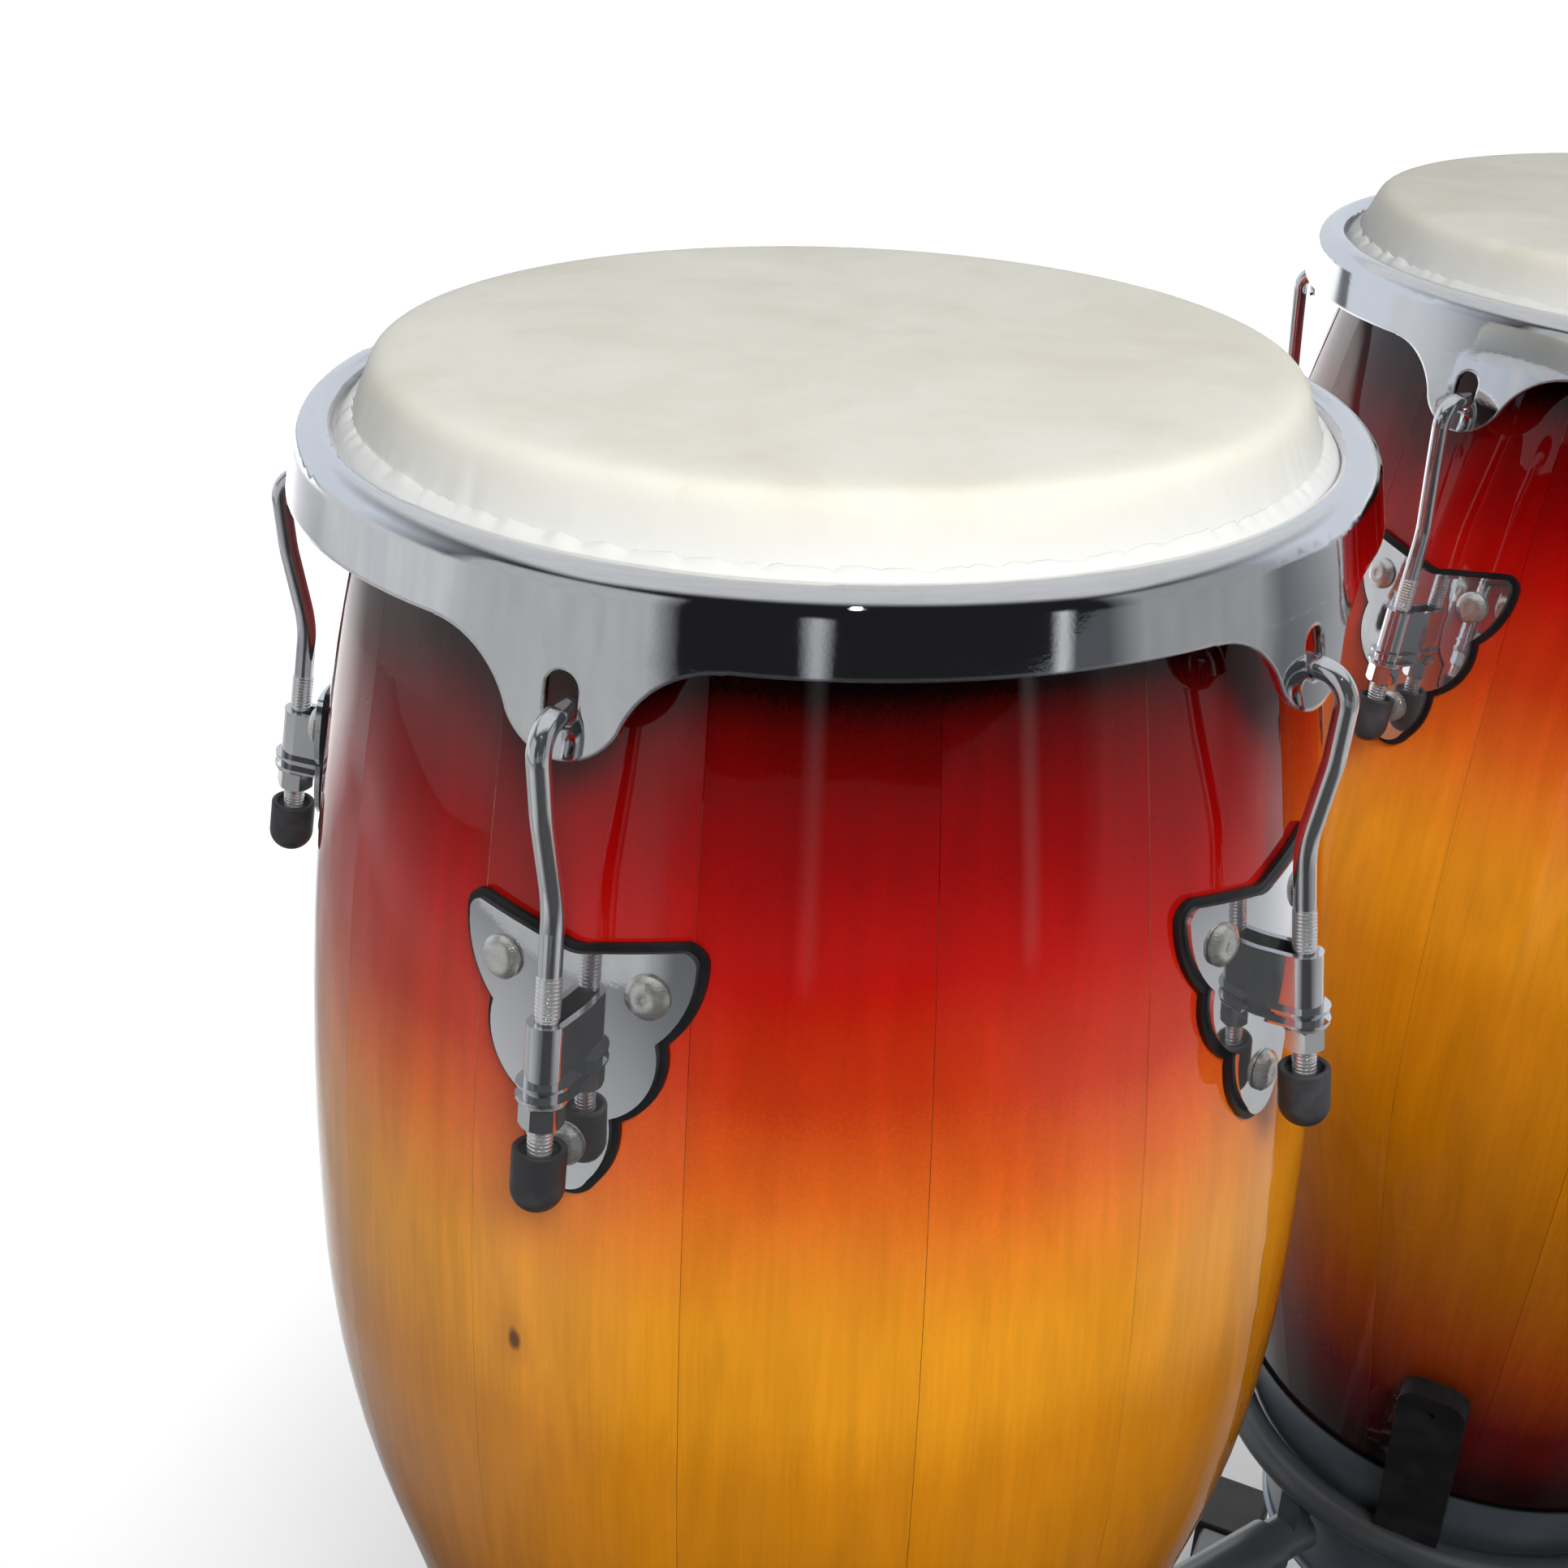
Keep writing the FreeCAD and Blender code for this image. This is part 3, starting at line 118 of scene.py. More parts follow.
class Shade:
    """A material under construction, with short words for its nodes."""

    def __init__(self, name, **uniform):
        self.material = bpy.data.materials.new(name)
        self.material.use_nodes = True
        self.tree = self.material.node_tree
        self.shader = self.tree.nodes["Principled BSDF"]
        for words, value in uniform.items():
            self.shader.inputs[words.replace("_", " ")].default_value = value

    def plug(self, socket, value):
        if isinstance(value, bpy.types.NodeSocket):
            self.tree.links.new(value, socket)
        else:
            socket.default_value = value

    def node(self, kind, inputs=(), **settings):
        made = self.tree.nodes.new(kind)
        for word, value in settings.items():
            setattr(made, word, value)
        for key, value in dict(inputs).items():
            self.plug(made.inputs[key], value)
        return made

    def place(self):
        """The piece's own coordinates, in metres in the row frame at rest."""
        return self.node("ShaderNodeTexCoord").outputs["Object"]

    def own_normal(self):
        """The surface's direction in the piece's own axes."""
        return self.node("ShaderNodeTexCoord").outputs["Normal"]

    def math(self, operation, first, second=0.0, third=0.0):
        made = self.node("ShaderNodeMath", {0: first, 1: second, 2: third}, operation=operation)
        return made.outputs[0]

    def split(self, vector):
        made = self.node("ShaderNodeSeparateXYZ", {0: vector})
        return made.outputs[0], made.outputs[1], made.outputs[2]

    def join(self, x, y, z):
        return self.node("ShaderNodeCombineXYZ", {0: x, 1: y, 2: z}).outputs[0]

    def noise(self, vector, scale, detail=3.0, roughness=0.5, distortion=0.0):
        made = self.node("ShaderNodeTexNoise", {"Vector": vector, "Scale": scale, "Detail": detail,
                                                "Roughness": roughness, "Distortion": distortion})
        return made.outputs["Fac"]

    def remap(self, value, low, high, to_low=0.0, to_high=1.0):
        made = self.node("ShaderNodeMapRange", {"Value": value, "From Min": low, "From Max": high,
                                                "To Min": to_low, "To Max": to_high})
        return made.outputs["Result"]

    def ramp(self, value, stops):
        made = self.node("ShaderNodeValToRGB", {"Fac": value})
        elements = made.color_ramp.elements
        while len(elements) < len(stops):
            elements.new(0.5)
        for element, (position, colour) in zip(elements, stops):
            element.position = position
            element.color = (*colour, 1.0)
        return made.outputs["Color"]

    def vector(self, operation, first, second=(0.0, 0.0, 0.0)):
        return self.node("ShaderNodeVectorMath", {0: first, 1: second}, operation=operation).outputs

    def around_half(self, value, reach):
        """A value's swing of the given reach either side of nought."""
        return self.math("MULTIPLY", self.math("SUBTRACT", value, 0.5), reach)

    def tinted(self, colour, *shares):
        """A colour, or a colour socket, times each of the shares."""
        share = shares[0]
        for other in shares[1:]:
            share = self.math("MULTIPLY", share, other)
        return self.mix(1.0, colour, self.join(share, share, share), "MULTIPLY")

    def mix(self, share, first, second, blend="MIX"):
        made = self.node("ShaderNodeMix", data_type="RGBA", blend_type=blend)
        self.plug(made.inputs[0], share)
        for socket, value in ((made.inputs[6], first), (made.inputs[7], second)):
            self.plug(socket, (*value, 1.0) if isinstance(value, tuple) else value)
        return made.outputs[2]

    def bump(self, height, strength, distance, normal=None):
        inputs = {"Height": height, "Strength": strength, "Distance": distance}
        if normal is not None:
            inputs["Normal"] = normal
        return self.node("ShaderNodeBump", inputs).outputs["Normal"]

    def set(self, **sockets):
        for words, value in sockets.items():
            self.plug(self.shader.inputs[words.replace("_", " ")], value)
        return self.material


def paint(node, material):
    """Give a CAD node one material."""
    mesh = NODES[node].data
    mesh.materials.clear()
    mesh.materials.append(material)


def knotted(shade, colour, spot, width, figure):
    """The colour with a dark knot at a spot, in a paler ring, both drawn out upwards."""
    away = shade.vector("SUBTRACT", shade.place(), spot)["Vector"]
    drawn_out = shade.vector("MULTIPLY", away, (1.0, 1.0, 0.55))["Vector"]
    far = shade.vector("LENGTH", drawn_out)["Value"]
    wavy = shade.math("ADD", far, shade.around_half(figure, 0.004))
    halo = shade.remap(wavy, width * 3.2, width, 0.0, 0.28)
    core = shade.remap(wavy, width, width * 0.45)
    ringed = shade.mix(halo, colour, (0.40, 0.10, 0.012))
    return shade.mix(shade.math("MULTIPLY", core, 0.85), ringed, (0.035, 0.008, 0.003))


def lacquered_staves(drum):
    """Sunburst lacquer over grained staves, and raw wood on the inside."""
    shade = Shade(drum.name + "_lacquer", Coat_Weight=1.0, Coat_Roughness=0.02, Coat_IOR=1.5,
                  Specular_IOR_Level=0.0)
    x, y, z = shade.split(shade.place())
    across = shade.math("SUBTRACT", x, drum.x)
    aside = shade.math("SUBTRACT", y, drum.y)
    angle = shade.math("ARCTAN2", aside, across)
    turned = shade.math("SUBTRACT", angle, drum.front_turn - 4 * math.pi)
    counted = shade.math("DIVIDE", turned, 2 * math.pi / STAVES)
    # a stave's section starts half its width before its middle
    shifted = shade.math("ADD", counted, 0.5)
    stave = shade.math("FLOOR", shifted)
    along_width = shade.math("FRACT", shifted)
    chance = shade.node("ShaderNodeTexWhiteNoise", {"W": stave}, noise_dimensions="1D")
    luck = chance.outputs["Value"]
    other_luck = shade.split(chance.outputs["Color"])[1]
    arc = shade.math("MULTIPLY", angle, 0.16)
    shuffled = shade.math("MULTIPLY", luck, 9.0)
    fibre = shade.join(arc, shade.math("MULTIPLY", z, 0.035), shuffled)
    grain = shade.noise(fibre, 620.0, 4.0, 0.62, 0.4)
    figure = shade.noise(shade.join(arc, shade.math("MULTIPLY", z, 0.16), shuffled), 62.0, 2.0, 0.5, 1.3)
    cloud = shade.noise(shade.place(), 9.0, 3.0, 0.55)
    speckle = shade.noise(shade.place(), 1300.0, 2.0, 0.5)

    height = shade.math("SUBTRACT", z, drum.rim)
    wander = shade.around_half(cloud, 0.030)
    streak = shade.around_half(grain, 0.010)
    spray = shade.around_half(speckle, 0.015)
    uneven = shade.math("ADD", wander, shade.math("ADD", streak, spray))
    place = shade.remap(shade.math("ADD", height, uneven), -BURST_DEPTH, 0.0)
    burst = shade.ramp(place, [(1 + level / BURST_DEPTH, colour) for level, colour in BURST])
    lit = shade.tinted(burst, shade.remap(grain, 0.3, 0.7, 0.93, 1.05),
                       shade.remap(figure, 0.3, 0.7, 0.90, 1.08),
                       shade.remap(luck, 0.0, 1.0, 0.92, 1.06))
    from_seam = shade.math("ABSOLUTE", shade.math("SUBTRACT", along_width, 0.5))
    seam = shade.remap(from_seam, 0.494, 0.4995)
    seamed = shade.mix(shade.math("MULTIPLY", seam, 0.05), lit, (0.05, 0.006, 0.002))

    for turn, level, width in KNOTS[drum.name]:
        spot = drum.spot(SHELL_RADIUS, math.radians(turn), level)
        seamed = knotted(shade, seamed, spot, width, figure)

    outwards = shade.join(across, aside, 0.0)
    facing = shade.vector("DOT_PRODUCT", shade.own_normal(), outwards)["Value"]
    inside = shade.math("LESS_THAN", facing, 0.0)
    raw = shade.ramp(grain, [(0.3, (0.30, 0.17, 0.075)), (0.7, (0.52, 0.34, 0.17))])
    colour = shade.mix(inside, seamed, raw)

    slow = shade.noise(shade.join(arc, shade.math("MULTIPLY", z, 0.10), shuffled), 24.0, 1.0)
    waves = shade.bump(slow, 0.22, 0.004)
    groove = shade.math("SUBTRACT", 1.0, seam)
    normal = shade.bump(groove, 0.03, 0.0003, waves)
    pores = shade.bump(grain, 0.25, 0.0003)
    rough = shade.remap(other_luck, 0.0, 1.0, 0.34, 0.44)
    return shade.set(Base_Color=colour, Roughness=rough, Normal=pores, Coat_Normal=normal)


def chrome(name, tint=(0.80, 0.81, 0.83), polish=0.025, crease=0.0, metal=1.0):
    """Plated steel with faint wipe marks; plating rounds off creases of the given size."""
    shade = Shade(name, Metallic=metal)
    spots = shade.place()
    smear = shade.noise(spots, 45.0, 4.0, 0.6)
    speck = shade.noise(spots, 900.0, 2.0, 0.5)
    rough = shade.remap(smear, 0.35, 0.75, polish, polish * 2.2)
    colour = shade.tinted(tint, shade.remap(smear, 0.2, 0.8, 0.96, 1.03))
    rounded = None
    if crease:
        rounded = shade.node("ShaderNodeBevel", {"Radius": crease}, samples=6).outputs["Normal"]
    return shade.set(Base_Color=colour, Roughness=rough,
                     Normal=shade.bump(speck, 0.02, 0.0002, rounded))


def steel(name, tint, rough_low, rough_high, scale=260.0, metal=1.0):
    """Brushed or zinc-plated steel."""
    shade = Shade(name, Metallic=metal)
    x, y, z = shade.split(shade.place())
    brushed = shade.noise(shade.join(x, y, shade.math("MULTIPLY", z, 18.0)), scale, 3.0, 0.6)
    patch = shade.noise(shade.place(), 22.0, 3.0, 0.5)
    colour = shade.tinted(tint, shade.remap(brushed, 0.3, 0.7, 0.88, 1.08),
                          shade.remap(patch, 0.3, 0.7, 0.92, 1.05))
    rough = shade.remap(brushed, 0.3, 0.7, rough_low, rough_high)
    return shade.set(Base_Color=colour, Roughness=rough, Normal=shade.bump(brushed, 0.06, 0.0003))


def rubber(name, tone=0.008, gloss=0.42):
    """Moulded black rubber with a fine skin and a little dust."""
    shade = Shade(name, Specular_IOR_Level=0.3)
    spots = shade.place()
    skin = shade.noise(spots, 2600.0, 2.0, 0.6)
    dust = shade.noise(spots, 70.0, 4.0, 0.65)
    dusty = tone * 2.6
    colour = shade.ramp(dust, [(0.45, (tone, tone, tone * 1.1)), (0.85, (dusty, dusty, tone * 2.8))])
    rough = shade.remap(dust, 0.3, 0.8, gloss, gloss + 0.16)
    return shade.set(Base_Color=colour, Roughness=rough, Normal=shade.bump(skin, 0.18, 0.0003))


def powder_coat(name):
    """Dark grey powder coat with its orange peel."""
    shade = Shade(name, Coat_Weight=0.35, Coat_Roughness=0.2)
    spots = shade.place()
    peel = shade.noise(spots, 1100.0, 2.0, 0.5)
    patch = shade.noise(spots, 30.0, 3.0, 0.6)
    colour = shade.ramp(patch, [(0.3, (0.030, 0.034, 0.038)), (0.75, (0.048, 0.053, 0.058))])
    rough = shade.remap(peel, 0.3, 0.7, 0.30, 0.42)
    return shade.set(Base_Color=colour, Roughness=rough, Normal=shade.bump(peel, 0.22, 0.0003))


def band_metal(drum):
    """Grey enamelled steel band, satin, with painted shade along its top edge where it meets the shell.
    """
    shade = Shade(drum.name + "_band", Metallic=0.75, Coat_Weight=0.6, Coat_Roughness=0.12)
    x, y, z = shade.split(shade.place())
    patch = shade.noise(shade.place(), 34.0, 3.0, 0.55)
    flake = shade.noise(shade.place(), 1800.0, 2.0, 0.5)
    tone = shade.ramp(patch, [(0.3, (0.160, 0.190, 0.220)), (0.75, (0.230, 0.260, 0.290))])
    # painted shade: the band's top 1.5 mm goes near-black, standing in for the shadow in the gap under
    # the shell
    painted_gap_shade = shade.remap(z, drum.rim - 0.5605, drum.rim - 0.5590)
    colour = shade.mix(painted_gap_shade, tone, (0.008, 0.008, 0.010))
    rough = shade.remap(flake, 0.3, 0.7, 0.28, 0.36)
    return shade.set(Base_Color=colour, Roughness=rough, Normal=shade.bump(flake, 0.05, 0.0002))


def rawhide(drum):
    """Cream hide: clouds, pores and faint veins; the torn edge is paler."""
    shade = Shade(drum.name + "_rawhide", Subsurface_Weight=0.08, Subsurface_Scale=0.004,
                  Specular_IOR_Level=0.4)
    shade.shader.inputs["Subsurface Radius"].default_value = (1.0, 0.7, 0.4)
    spots = shade.place()
    x, y, z = shade.split(spots)
    cloud = shade.noise(spots, 13.0, 4.0, 0.58, 0.5)
    haze = shade.noise(spots, 31.0, 4.0, 0.6, 0.2)
    pore = shade.noise(spots, 1500.0, 3.0, 0.6)
    vein = shade.noise(spots, 48.0, 6.0, 0.72, 1.6)
    clouded = shade.ramp(cloud, [(0.32, (0.78, 0.73, 0.60)), (0.52, (0.85, 0.82, 0.71)),
                                 (0.72, (0.89, 0.87, 0.78))])
    hazed = shade.mix(shade.remap(haze, 0.50, 0.78, 0.0, 0.42), clouded, (0.72, 0.67, 0.54))
    veined = shade.mix(shade.remap(vein, 0.60, 0.75, 0.0, 0.22), hazed, (0.68, 0.62, 0.48))
    low = shade.remap(z, drum.rim + 0.014, drum.rim - 0.002)
    colour = shade.mix(low, veined, (0.78, 0.775, 0.765))
    bumpy = shade.bump(pore, 0.15, 0.0003)
    lumpy = shade.bump(haze, 0.18, 0.0015, bumpy)
    shred = shade.noise(shade.join(x, y, shade.math("MULTIPLY", z, 0.4)), 420.0, 4.0, 0.65, 0.8)
    edge = shade.remap(z, drum.rim - 0.0005, drum.rim - 0.0030)
    torn = shade.math("MULTIPLY", edge, shred)
    rugged = shade.bump(torn, 0.55, 0.0007, lumpy)
    rough = shade.remap(cloud, 0.3, 0.7, 0.46, 0.60)
    return shade.set(Base_Color=colour, Roughness=rough, Normal=rugged)


# ---------------------------------------------------------------- mesh pieces

def mesh_object(name, points, faces, material):
    """A smooth-shaded mesh from points and faces, in the scene."""
    mesh = bpy.data.meshes.new(name)
    mesh.from_pydata([tuple(point) for point in points], [], faces)
    mesh.validate()
    mesh.update()
    for face in mesh.polygons:
        face.use_smooth = True
    mesh.materials.append(material)
    made = bpy.data.objects.new(name, mesh)
    bpy.context.scene.collection.objects.link(made)
    return made


def grid_faces(rows, columns, closed_columns=True):
    """Quads between rows of points; the columns run round."""
    faces = []
    last = columns if closed_columns else columns - 1
    for row in range(rows - 1):
        for column in range(last):
            after = (column + 1) % columns
            faces.append((row * columns + column, row * columns + after,
                          (row + 1) * columns + after, (row + 1) * columns + column))
    return faces


def smooth_line(corners, steps):
    """Points along a Catmull-Rom line through the corners."""
    spots = [Vector(corner) for corner in corners]
    spots = [2 * spots[0] - spots[1]] + spots + [2 * spots[-1] - spots[-2]]
    result = []
    for a, b, c, d in zip(spots, spots[1:], spots[2:], spots[3:]):
        for index in range(steps):
            t = index / steps
            result.append(0.5 * ((2 * b) + (c - a) * t + (2 * a - 5 * b + 4 * c - d) * t * t
                                 + (3 * b - a - 3 * c + d) * t ** 3))
    result.append(spots[-2])
    return result


# the smaller head's outline in mm, from the middle out: radius, and level from the rim
HIDE_CROWN = [(0.0, 17.4), (60.0, 17.45), (100.0, 17.5), (116.0, 17.5), (122.5, 17.2)]
HIDE_COLLAR = [(126.6, 16.2), (129.2, 13.6), (131.4, 8.6), (133.6, 3.0), (135.6, -2.4),
               (136.7, -6.2), (137.1, -10.0), (137.2, -14.0)]
HIDE_WRAP = [(138.4, -17.2), (141.6, -18.2), (145.2, -17.4), (147.5, -14.0), (147.6, -10.0),
             (145.6, -6.9), (142.4, -5.8)]
HIDE_TORN_EDGE = [(139.7, -5.0), (138.5, -4.0), (137.5, -2.6), (136.3, -1.4), (135.0, -0.6),
                  (133.9, -0.2)]
FOLD_RADIUS = 126.0
PULLED_FROM_RADIUS = 128.0
# the shares of the outline's length where the pulled collar ends and the torn edge starts
PULLED_UNTIL = 0.62
TORN_FROM = 0.86


def around_noise(around, scale, seed):
    """A steady random value for a direction round the drum; a larger scale is finer."""
    return noise.noise(around * scale + Vector((0, 0, seed)))


def hide_spot(around, radius, level, plain_radius, share):
    """A point on the hide in mm from the rim's middle, pulled or torn where it is so."""
    if plain_radius > PULLED_FROM_RADIUS and share < PULLED_UNTIL:
        pull = around_noise(around, 34.0, 3.7) * 0.35
        radius += pull * min(1.0, (plain_radius - PULLED_FROM_RADIUS) / 5.0)
    if share > TORN_FROM:
        torn = (share - TORN_FROM) / (1 - TORN_FROM)
        ragged = around_noise(around, 26.0, 8.1)
        frayed = around_noise(around, 90.0, 1.3)
        tuft = around_noise(around, 210.0, 5.5)
        radius += torn * (0.20 * ragged + 0.30 * frayed + 0.22 * tuft)
        level += torn * (0.6 + 1.5 * ragged + 0.9 * frayed + 0.5 * tuft)
    return around * radius + Vector((0, 0, level))


def hide_piece(drum, material):
    """The head: a flat crown, a rounded fold, a pulled collar and a torn, tucked edge."""
    columns = 480
    outline = HIDE_CROWN + HIDE_COLLAR + HIDE_WRAP + HIDE_TORN_EDGE
    line = smooth_line([(radius, level, 0.0) for radius, level in outline], 3)[1:]
    rows = len(line)
    origin = Vector((drum.x, drum.y, drum.rim))
    points = [origin + Vector((0, 0, HIDE_CROWN[0][1] * MM))]
    for row, spot in enumerate(line):
        share = row / (rows - 1)
        radius = spot.x + (drum.extra / MM) * min(1.0, spot.x / FOLD_RADIUS)
        for column in range(columns):
            turn = 2 * math.pi * column / columns
            around = Vector((math.cos(turn), math.sin(turn), 0.0))
            points.append(origin + hide_spot(around, radius, spot.y, spot.x, share) * MM)
    faces = [(0, 1 + column, 1 + (column + 1) % columns) for column in range(columns)]
    faces += [tuple(1 + index for index in face[::-1]) for face in grid_faces(rows, columns)]
    made = mesh_object(drum.name + "_rawhide_head", points, faces, material)
    thick = made.modifiers.new("thickness", "SOLIDIFY")
    thick.thickness = 0.0011
    thick.offset = -1.0
    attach(made, drum.name + "_drum")
    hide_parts(drum.name + "_head_skin")


# a rod's thread in metres: its root, pitch and ridge
THREAD_RADIUS = 3.01 * MM
THREAD_PITCH = 1.05 * MM
THREAD_RIDGE = 0.34 * MM
# its bare stretches: where each starts along the rod from the nut's middle, and its length
BARE_THREADS = {"upper": (24.9 * MM, 12.2 * MM), "lower": (-11.8 * MM, 8.3 * MM)}


def thread_piece(name, base, axis, length, material, body):
    """A bare stretch of a rod's thread: a fine helix of ridges over the plain rod."""
    columns = 16
    steps = 6
    rows = int(length / THREAD_PITCH * steps)
    side = axis.orthogonal().normalized()
    other = axis.cross(side)
    points = []
    for row in range(rows + 1):
        for column in range(columns):
            turn = 2 * math.pi * column / columns
            phase = (row / steps + column / columns) % 1.0
            ridge = abs(2 * phase - 1)
            fade = min(1.0, row / steps, (rows - row) / steps)
            reach = THREAD_RADIUS + THREAD_RIDGE * ridge * fade
            out = side * math.cos(turn) + other * math.sin(turn)
            points.append(base + axis * (length * row / rows) + out * reach)
    made = mesh_object(name, points, grid_faces(rows + 1, columns), material)
    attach(made, body)


# ---------------------------------------------------------------- dress the object

polished = chrome("polished_chrome", metal=0.955)
rim_chrome = chrome("rim_chrome", crease=0.0013)
rod_chrome = chrome("rod_chrome", (0.78, 0.79, 0.81), 0.05, metal=0.95)
thread_metal = chrome("thread_zinc", (0.90, 0.90, 0.91), 0.14, metal=0.82)
bolt_metal = steel("nickel_bolt", (0.74, 0.73, 0.70), 0.24, 0.34, 500.0, 0.86)
hoop_steel = steel("hoop_steel", (0.45, 0.45, 0.46), 0.3, 0.42)
zinc = steel("zinc_steel", (0.60, 0.60, 0.62), 0.22, 0.34)
black_rubber = rubber("black_rubber")
cap_rubber = rubber("cap_rubber", 0.032, 0.38)
gasket_rubber = rubber("gasket_rubber", 0.008, 0.30)
coat = powder_coat("dark_powder_coat")

def dress_lug(drum, lug):
    """A hook with its cap, its nut and the thread that shows above and below."""
    hook = "%s_hook_%d" % (drum.name, lug)
    paint(hook, rod_chrome)
    paint("%s_cap_%d" % (drum.name, lug), cap_rubber)
    paint("%s_nut_%d" % (drum.name, lug), rod_chrome)
    nut = JOINTS["%s_nut_%d_turn" % (drum.name, lug)]
    axis = Vector(nut["axis"]).normalized()
    for word, (start, length) in BARE_THREADS.items():
        thread_piece("%s_thread_%s_%d" % (drum.name, word, lug), Vector(nut["pos_m"]) + axis * start,
                     axis, length, thread_metal, hook)


def dress_drum(drum):
    """Everything that belongs to one drum, and its basket."""
    hide = rawhide(drum)
    for part, material in (
            ("staves", lacquered_staves(drum)), ("bottom_band", band_metal(drum)), ("head_skin", hide),
            ("flesh_hoop", hoop_steel), ("rim", rim_chrome), ("lug_plates", polished),
            ("gaskets", gasket_rubber), ("fasteners", bolt_metal), ("basket", coat),
            ("sleeves", black_rubber)):
        paint("%s_%s" % (drum.name, part), material)
    hide_piece(drum, hide)
    for lug in range(1, LUGS + 1):
        dress_lug(drum, lug)


for drum in DRUM.values():
    dress_drum(drum)
for node, material in (
        ("base_bar_fixed", coat), ("base_bar_swing", coat), ("post", coat), ("crossbar", coat),
        ("shoes_fixed", black_rubber), ("shoes_swing", black_rubber), ("mast", polished),
        ("screw_height", zinc), ("screw_first", zinc), ("screw_second", zinc)):
    paint(node, material)

for item in NODES.values():
    for face in item.data.polygons:
        face.use_smooth = True
    sharp = item.modifiers.new("sharp_edges", "EDGE_SPLIT")
    sharp.split_angle = math.radians(32)


# ---------------------------------------------------------------- stage

def area_light(name, place, aim, width, height, power, spread):
    """A soft light in watts, aimed at a point; its spread is in degrees."""
    lamp = bpy.data.lights.new(name, "AREA")
    lamp.shape = "RECTANGLE"
    lamp.size = width
    lamp.size_y = height
    lamp.energy = power
    lamp.spread = math.radians(spread)
    made = bpy.data.objects.new(name, lamp)
    made.location = place
    made.rotation_euler = (Vector(aim) - Vector(place)).to_track_quat("-Z", "Y").to_euler()
    bpy.context.scene.collection.objects.link(made)
    return made


def floor_piece():
    """A wide pale floor."""
    shade = Shade("pale_floor")
    mottle = shade.noise(shade.place(), 3.0, 3.0, 0.5)
    colour = shade.ramp(mottle, [(0.3, (0.80, 0.80, 0.80)), (0.7, (0.82, 0.82, 0.82))])
    material = shade.set(Base_Color=colour, Roughness=0.6)
    corners = [(side, y, 0.0) for y in (-14.0, 0.0, 26.0) for side in (-20.0, 20.0)]
    mesh_object("floor", corners, grid_faces(3, 2, False), material)


def soft_card(name, centre, across, up, width, height, feather, glow):
    """A card with faded edges, out of view, that glossy surfaces mirror: black, or glowing."""
    shade = Shade(name)
    u, v, w = shade.split(shade.node("ShaderNodeTexCoord").outputs["UV"])
    edges = []
    for along, length in ((u, width), (v, height)):
        from_middle = shade.math("ABSOLUTE", shade.math("SUBTRACT", along, 0.5))
        edges.append(shade.remap(from_middle, 0.5, 0.5 - feather / length))
    cloth = shade.noise(shade.place(), 6.0, 2.0, 0.5)
    solid = shade.math("MULTIPLY", shade.math("MULTIPLY", edges[0], edges[1]),
                       shade.remap(cloth, 0.3, 0.7, 0.9, 1.0))
    dark = shade.ramp(cloth, DARK_CLOTH)
    if glow:
        shine = shade.ramp(cloth, [(0.3, (0.95, 0.97, 1.0)), (0.7, (1.0, 1.0, 1.0))])
        material = shade.set(Base_Color=dark, Emission_Color=shine, Emission_Strength=glow, Alpha=solid)
    else:
        material = shade.set(Base_Color=dark, Roughness=0.8, Alpha=solid)
    across = Vector(across).normalized() * width / 2
    up = Vector(up).normalized() * height / 2
    corners = [Vector(centre) + across * side + up * way for way in (-1, 1) for side in (-1, 1)]
    made = mesh_object(name, corners, grid_faces(2, 2, False), material)
    layer = made.data.uv_layers.new(name="card")
    for loop in made.data.loops:
        layer.data[loop.index].uv = (loop.vertex_index % 2, loop.vertex_index // 2)
    made.visible_camera = False
    made.visible_diffuse = False
    made.visible_shadow = False


def studio_sweep():
    """A pale curved backdrop all round, fading into the floor; mirrors and bounced light skip it."""
    outline = [(0.6, 0.003), (1.7, 0.003), (4.5, 0.003), (9.0, 0.003), (10.5, 0.2), (11.6, 0.8),
               (12.3, 1.8), (12.6, 3.2), (12.6, 9.0), (9.0, 13.0), (4.0, 15.0), (0.05, 15.5)]
    columns = 96
    points = []
    for radius, level in outline:
        for column in range(columns):
            turn = 2 * math.pi * column / columns
            points.append((radius * math.cos(turn), radius * math.sin(turn), level))
    shade = Shade("pale_sweep")
    x, y, z = shade.split(shade.place())
    squares = shade.math("ADD", shade.math("MULTIPLY", x, x), shade.math("MULTIPLY", y, y))
    away = shade.math("SQRT", squares)
    cloth = shade.noise(shade.place(), 0.4, 2.0, 0.5)
    tone = shade.ramp(cloth, [(0.3, (0.95, 0.955, 0.96)), (0.7, (0.99, 0.99, 0.99))])
    dark = shade.ramp(cloth, DARK_CLOTH)
    lifted = shade.remap(z, 0.05, 0.15)
    solid = shade.math("MAXIMUM", lifted, shade.remap(away, 0.65, 1.7))
    material = shade.set(Base_Color=dark, Roughness=0.9, Emission_Color=tone, Emission_Strength=1.0,
                         Alpha=solid)
    made = mesh_object("sweep", points, grid_faces(len(outline), columns), material)
    for ray in ("visible_diffuse", "visible_glossy", "visible_transmission", "visible_shadow"):
        setattr(made, ray, False)


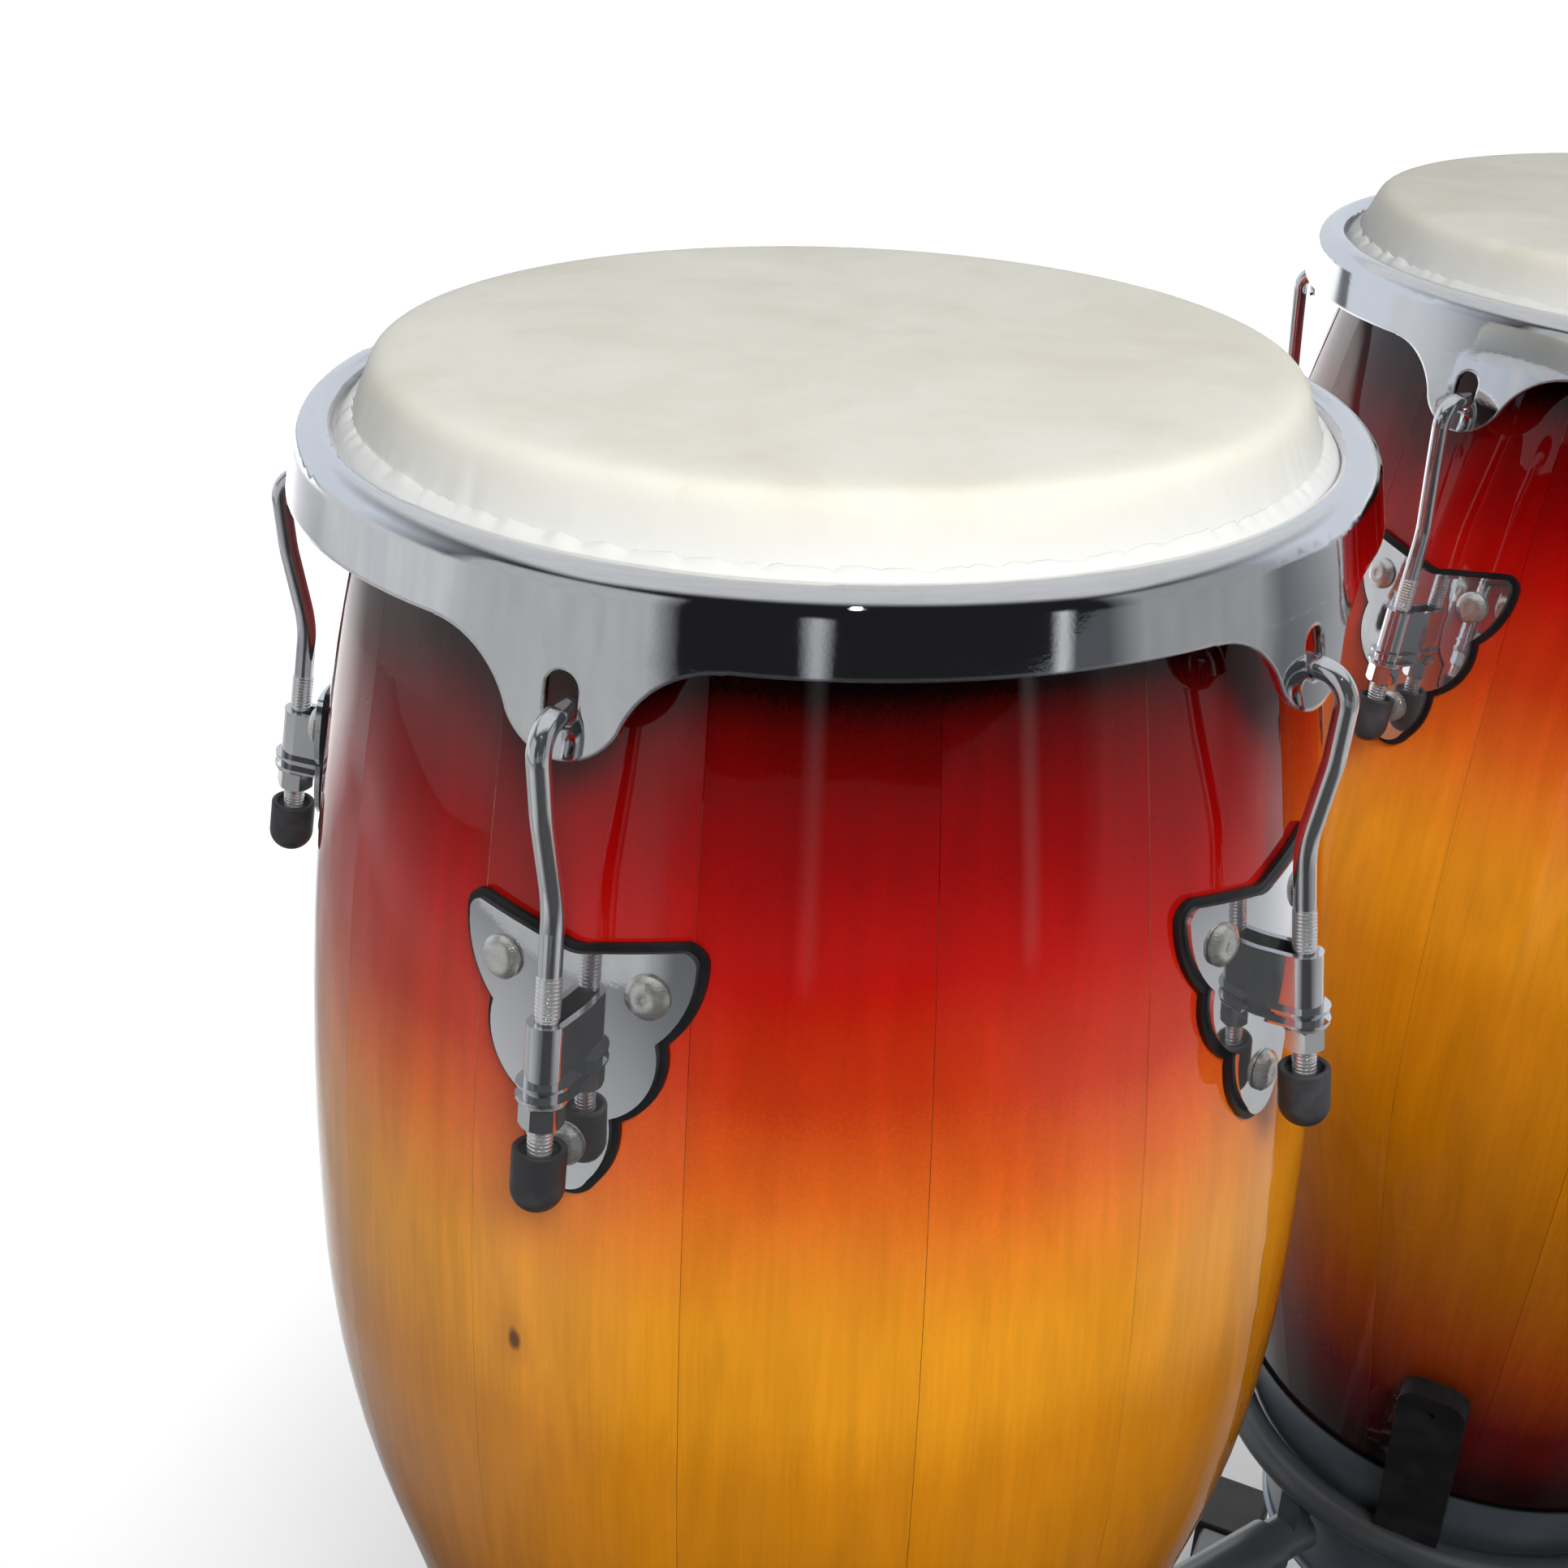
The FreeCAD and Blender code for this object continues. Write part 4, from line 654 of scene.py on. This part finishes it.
def studio_world():
    """A dim room with a bright band low behind the object for the chrome to mirror."""
    world = bpy.data.worlds.new("studio")
    world.use_nodes = True
    tree = world.node_tree
    background = tree.nodes["Background"]
    where = tree.nodes.new("ShaderNodeTexCoord")
    parts = tree.nodes.new("ShaderNodeSeparateXYZ")
    tree.links.new(where.outputs["Generated"], parts.inputs[0])
    shares = []
    for axis, start, end in ((1, -0.25, 0.35), (2, 0.75, 0.40)):
        share = tree.nodes.new("ShaderNodeMapRange")
        share.inputs["From Min"].default_value = start
        share.inputs["From Max"].default_value = end
        tree.links.new(parts.outputs[axis], share.inputs["Value"])
        shares.append(share.outputs["Result"])
    band = tree.nodes.new("ShaderNodeMath")
    band.operation = "MULTIPLY"
    tree.links.new(shares[0], band.inputs[0])
    tree.links.new(shares[1], band.inputs[1])
    colours = tree.nodes.new("ShaderNodeValToRGB")
    colours.color_ramp.elements[0].color = (0.014, 0.014, 0.016, 1)
    colours.color_ramp.elements[1].color = (0.68, 0.72, 0.78, 1)
    tree.links.new(band.outputs[0], colours.inputs["Fac"])
    tree.links.new(colours.outputs["Color"], background.inputs["Color"])
    background.inputs["Strength"].default_value = 1.0
    bpy.context.scene.world = world


# the camera: its lens, its tilt, and its place from the middle of the smaller drum's rim
LENS_MM = 44.0
LOOK_DOWN = math.radians(27.511)
ROLL = math.radians(1.708)
CAMERA_FROM_RIM = Vector((-0.0116, -0.5326, 0.1544))


def viewing_camera():
    """A camera standing over the smaller drum's front, looking down and a little rolled."""
    down = LOOK_DOWN
    roll = ROLL
    ahead = Vector((0.0, math.cos(down), -math.sin(down)))
    right = Vector((1.0, 0.0, 0.0))
    up = Vector((0.0, math.sin(down), math.cos(down)))
    turned_right = right * math.cos(roll) + up * math.sin(roll)
    turned_up = up * math.cos(roll) - right * math.sin(roll)
    lens = bpy.data.cameras.new("camera")
    lens.lens = LENS_MM
    lens.sensor_width = 36.0
    lens.clip_start = 0.01
    made = bpy.data.objects.new("camera", lens)
    axes = Matrix((turned_right, turned_up, -ahead)).transposed()
    place = DRUM["first"].spot(0.0, 0.0, 0.0) + CAMERA_FROM_RIM
    made.matrix_world = Matrix.Translation(place) @ axes.to_4x4()
    bpy.context.scene.collection.objects.link(made)
    bpy.context.scene.camera = made


ACROSS = (1, 0, 0)
ALONG = (0, 1, 0)
UPRIGHT = (0, 0, 1)

# name, place, what it is aimed at, width and height, watts, spread in degrees
LIGHTS = [
    ("key", (0.14, -1.6, 2.15), (0.0, 0.0, 0.7), 0.9, 0.7, 22.8, 130),
    ("glint", (-0.06, -1.6, 2.15), (0.0, 0.0, 0.7), 0.05, 0.05, 0.20, 130),
    ("backdrop", (0.0, 11.2, 3.4), (0.0, 11.2, 0.0), 20.0, 16.0, 1500.0, 100),
    ("floor_behind", (0.2, 2.0, 0.8), (0.2, 2.0, 0.0), 5.0, 2.6, 62.0, 150),
    ("floor_beside", (-1.5, 0.35, 0.6), (-1.5, 0.35, 0.0), 1.5, 1.5, 8.0, 150),
    ("floor_left", (-1.95, -1.1, 0.7), (-1.95, -1.1, 0.0), 1.6, 2.0, 3.0, 150),
    ("floor_right", (1.85, -1.0, 0.7), (1.85, -1.0, 0.0), 1.6, 2.0, 3.0, 150),
]
# name, middle, its two directions, width and height, faded border, glow
CARDS = [
    ("front_card", (0.05, -1.40, 0.05), ACROSS, ALONG, 2.4, 3.9, 0.5, 0.0),
    ("beside_card", (-1.45, 0.35, 0.06), ACROSS, ALONG, 1.9, 2.2, 0.4, 0.28),
    ("right_card", (1.05, 0.15, 0.06), ACROSS, ALONG, 1.0, 1.4, 0.3, 0.45),
    ("left_panel", (-2.4, -1.75, 1.25), (0.6, -0.8, 0), UPRIGHT, 2.6, 3.1, 0.35, 0.46),
    ("far_left_panel", (-3.6, 0.35, 0.6), ALONG, UPRIGHT, 3.7, 1.5, 0.4, 0.62),
    ("right_panel", (2.5, -0.9, 1.2), (0.34, 0.94, 0), UPRIGHT, 2.2, 3.0, 0.4, 0.31),
    ("ceiling", (0.0, 0.9, 2.6), ACROSS, ALONG, 4.4, 5.0, 0.6, 0.62),
    ("left_window", (-0.30, -2.3, 0.72), ACROSS, UPRIGHT, 0.26, 1.0, 0.11, 0.40),
    ("right_window", (1.30, -1.75, 0.72), (1, 1, 0), UPRIGHT, 0.20, 1.0, 0.08, 0.55),
]

floor_piece()
studio_sweep()
studio_world()
viewing_camera()
for row in LIGHTS:
    lamp = area_light(*row)
    # the key lights the scene but isn't mirrored; the small glint stands in for it
    lamp.visible_glossy = row[0] != "key"
for row in CARDS:
    soft_card(*row)
bpy.context.scene.view_settings.view_transform = "Standard"
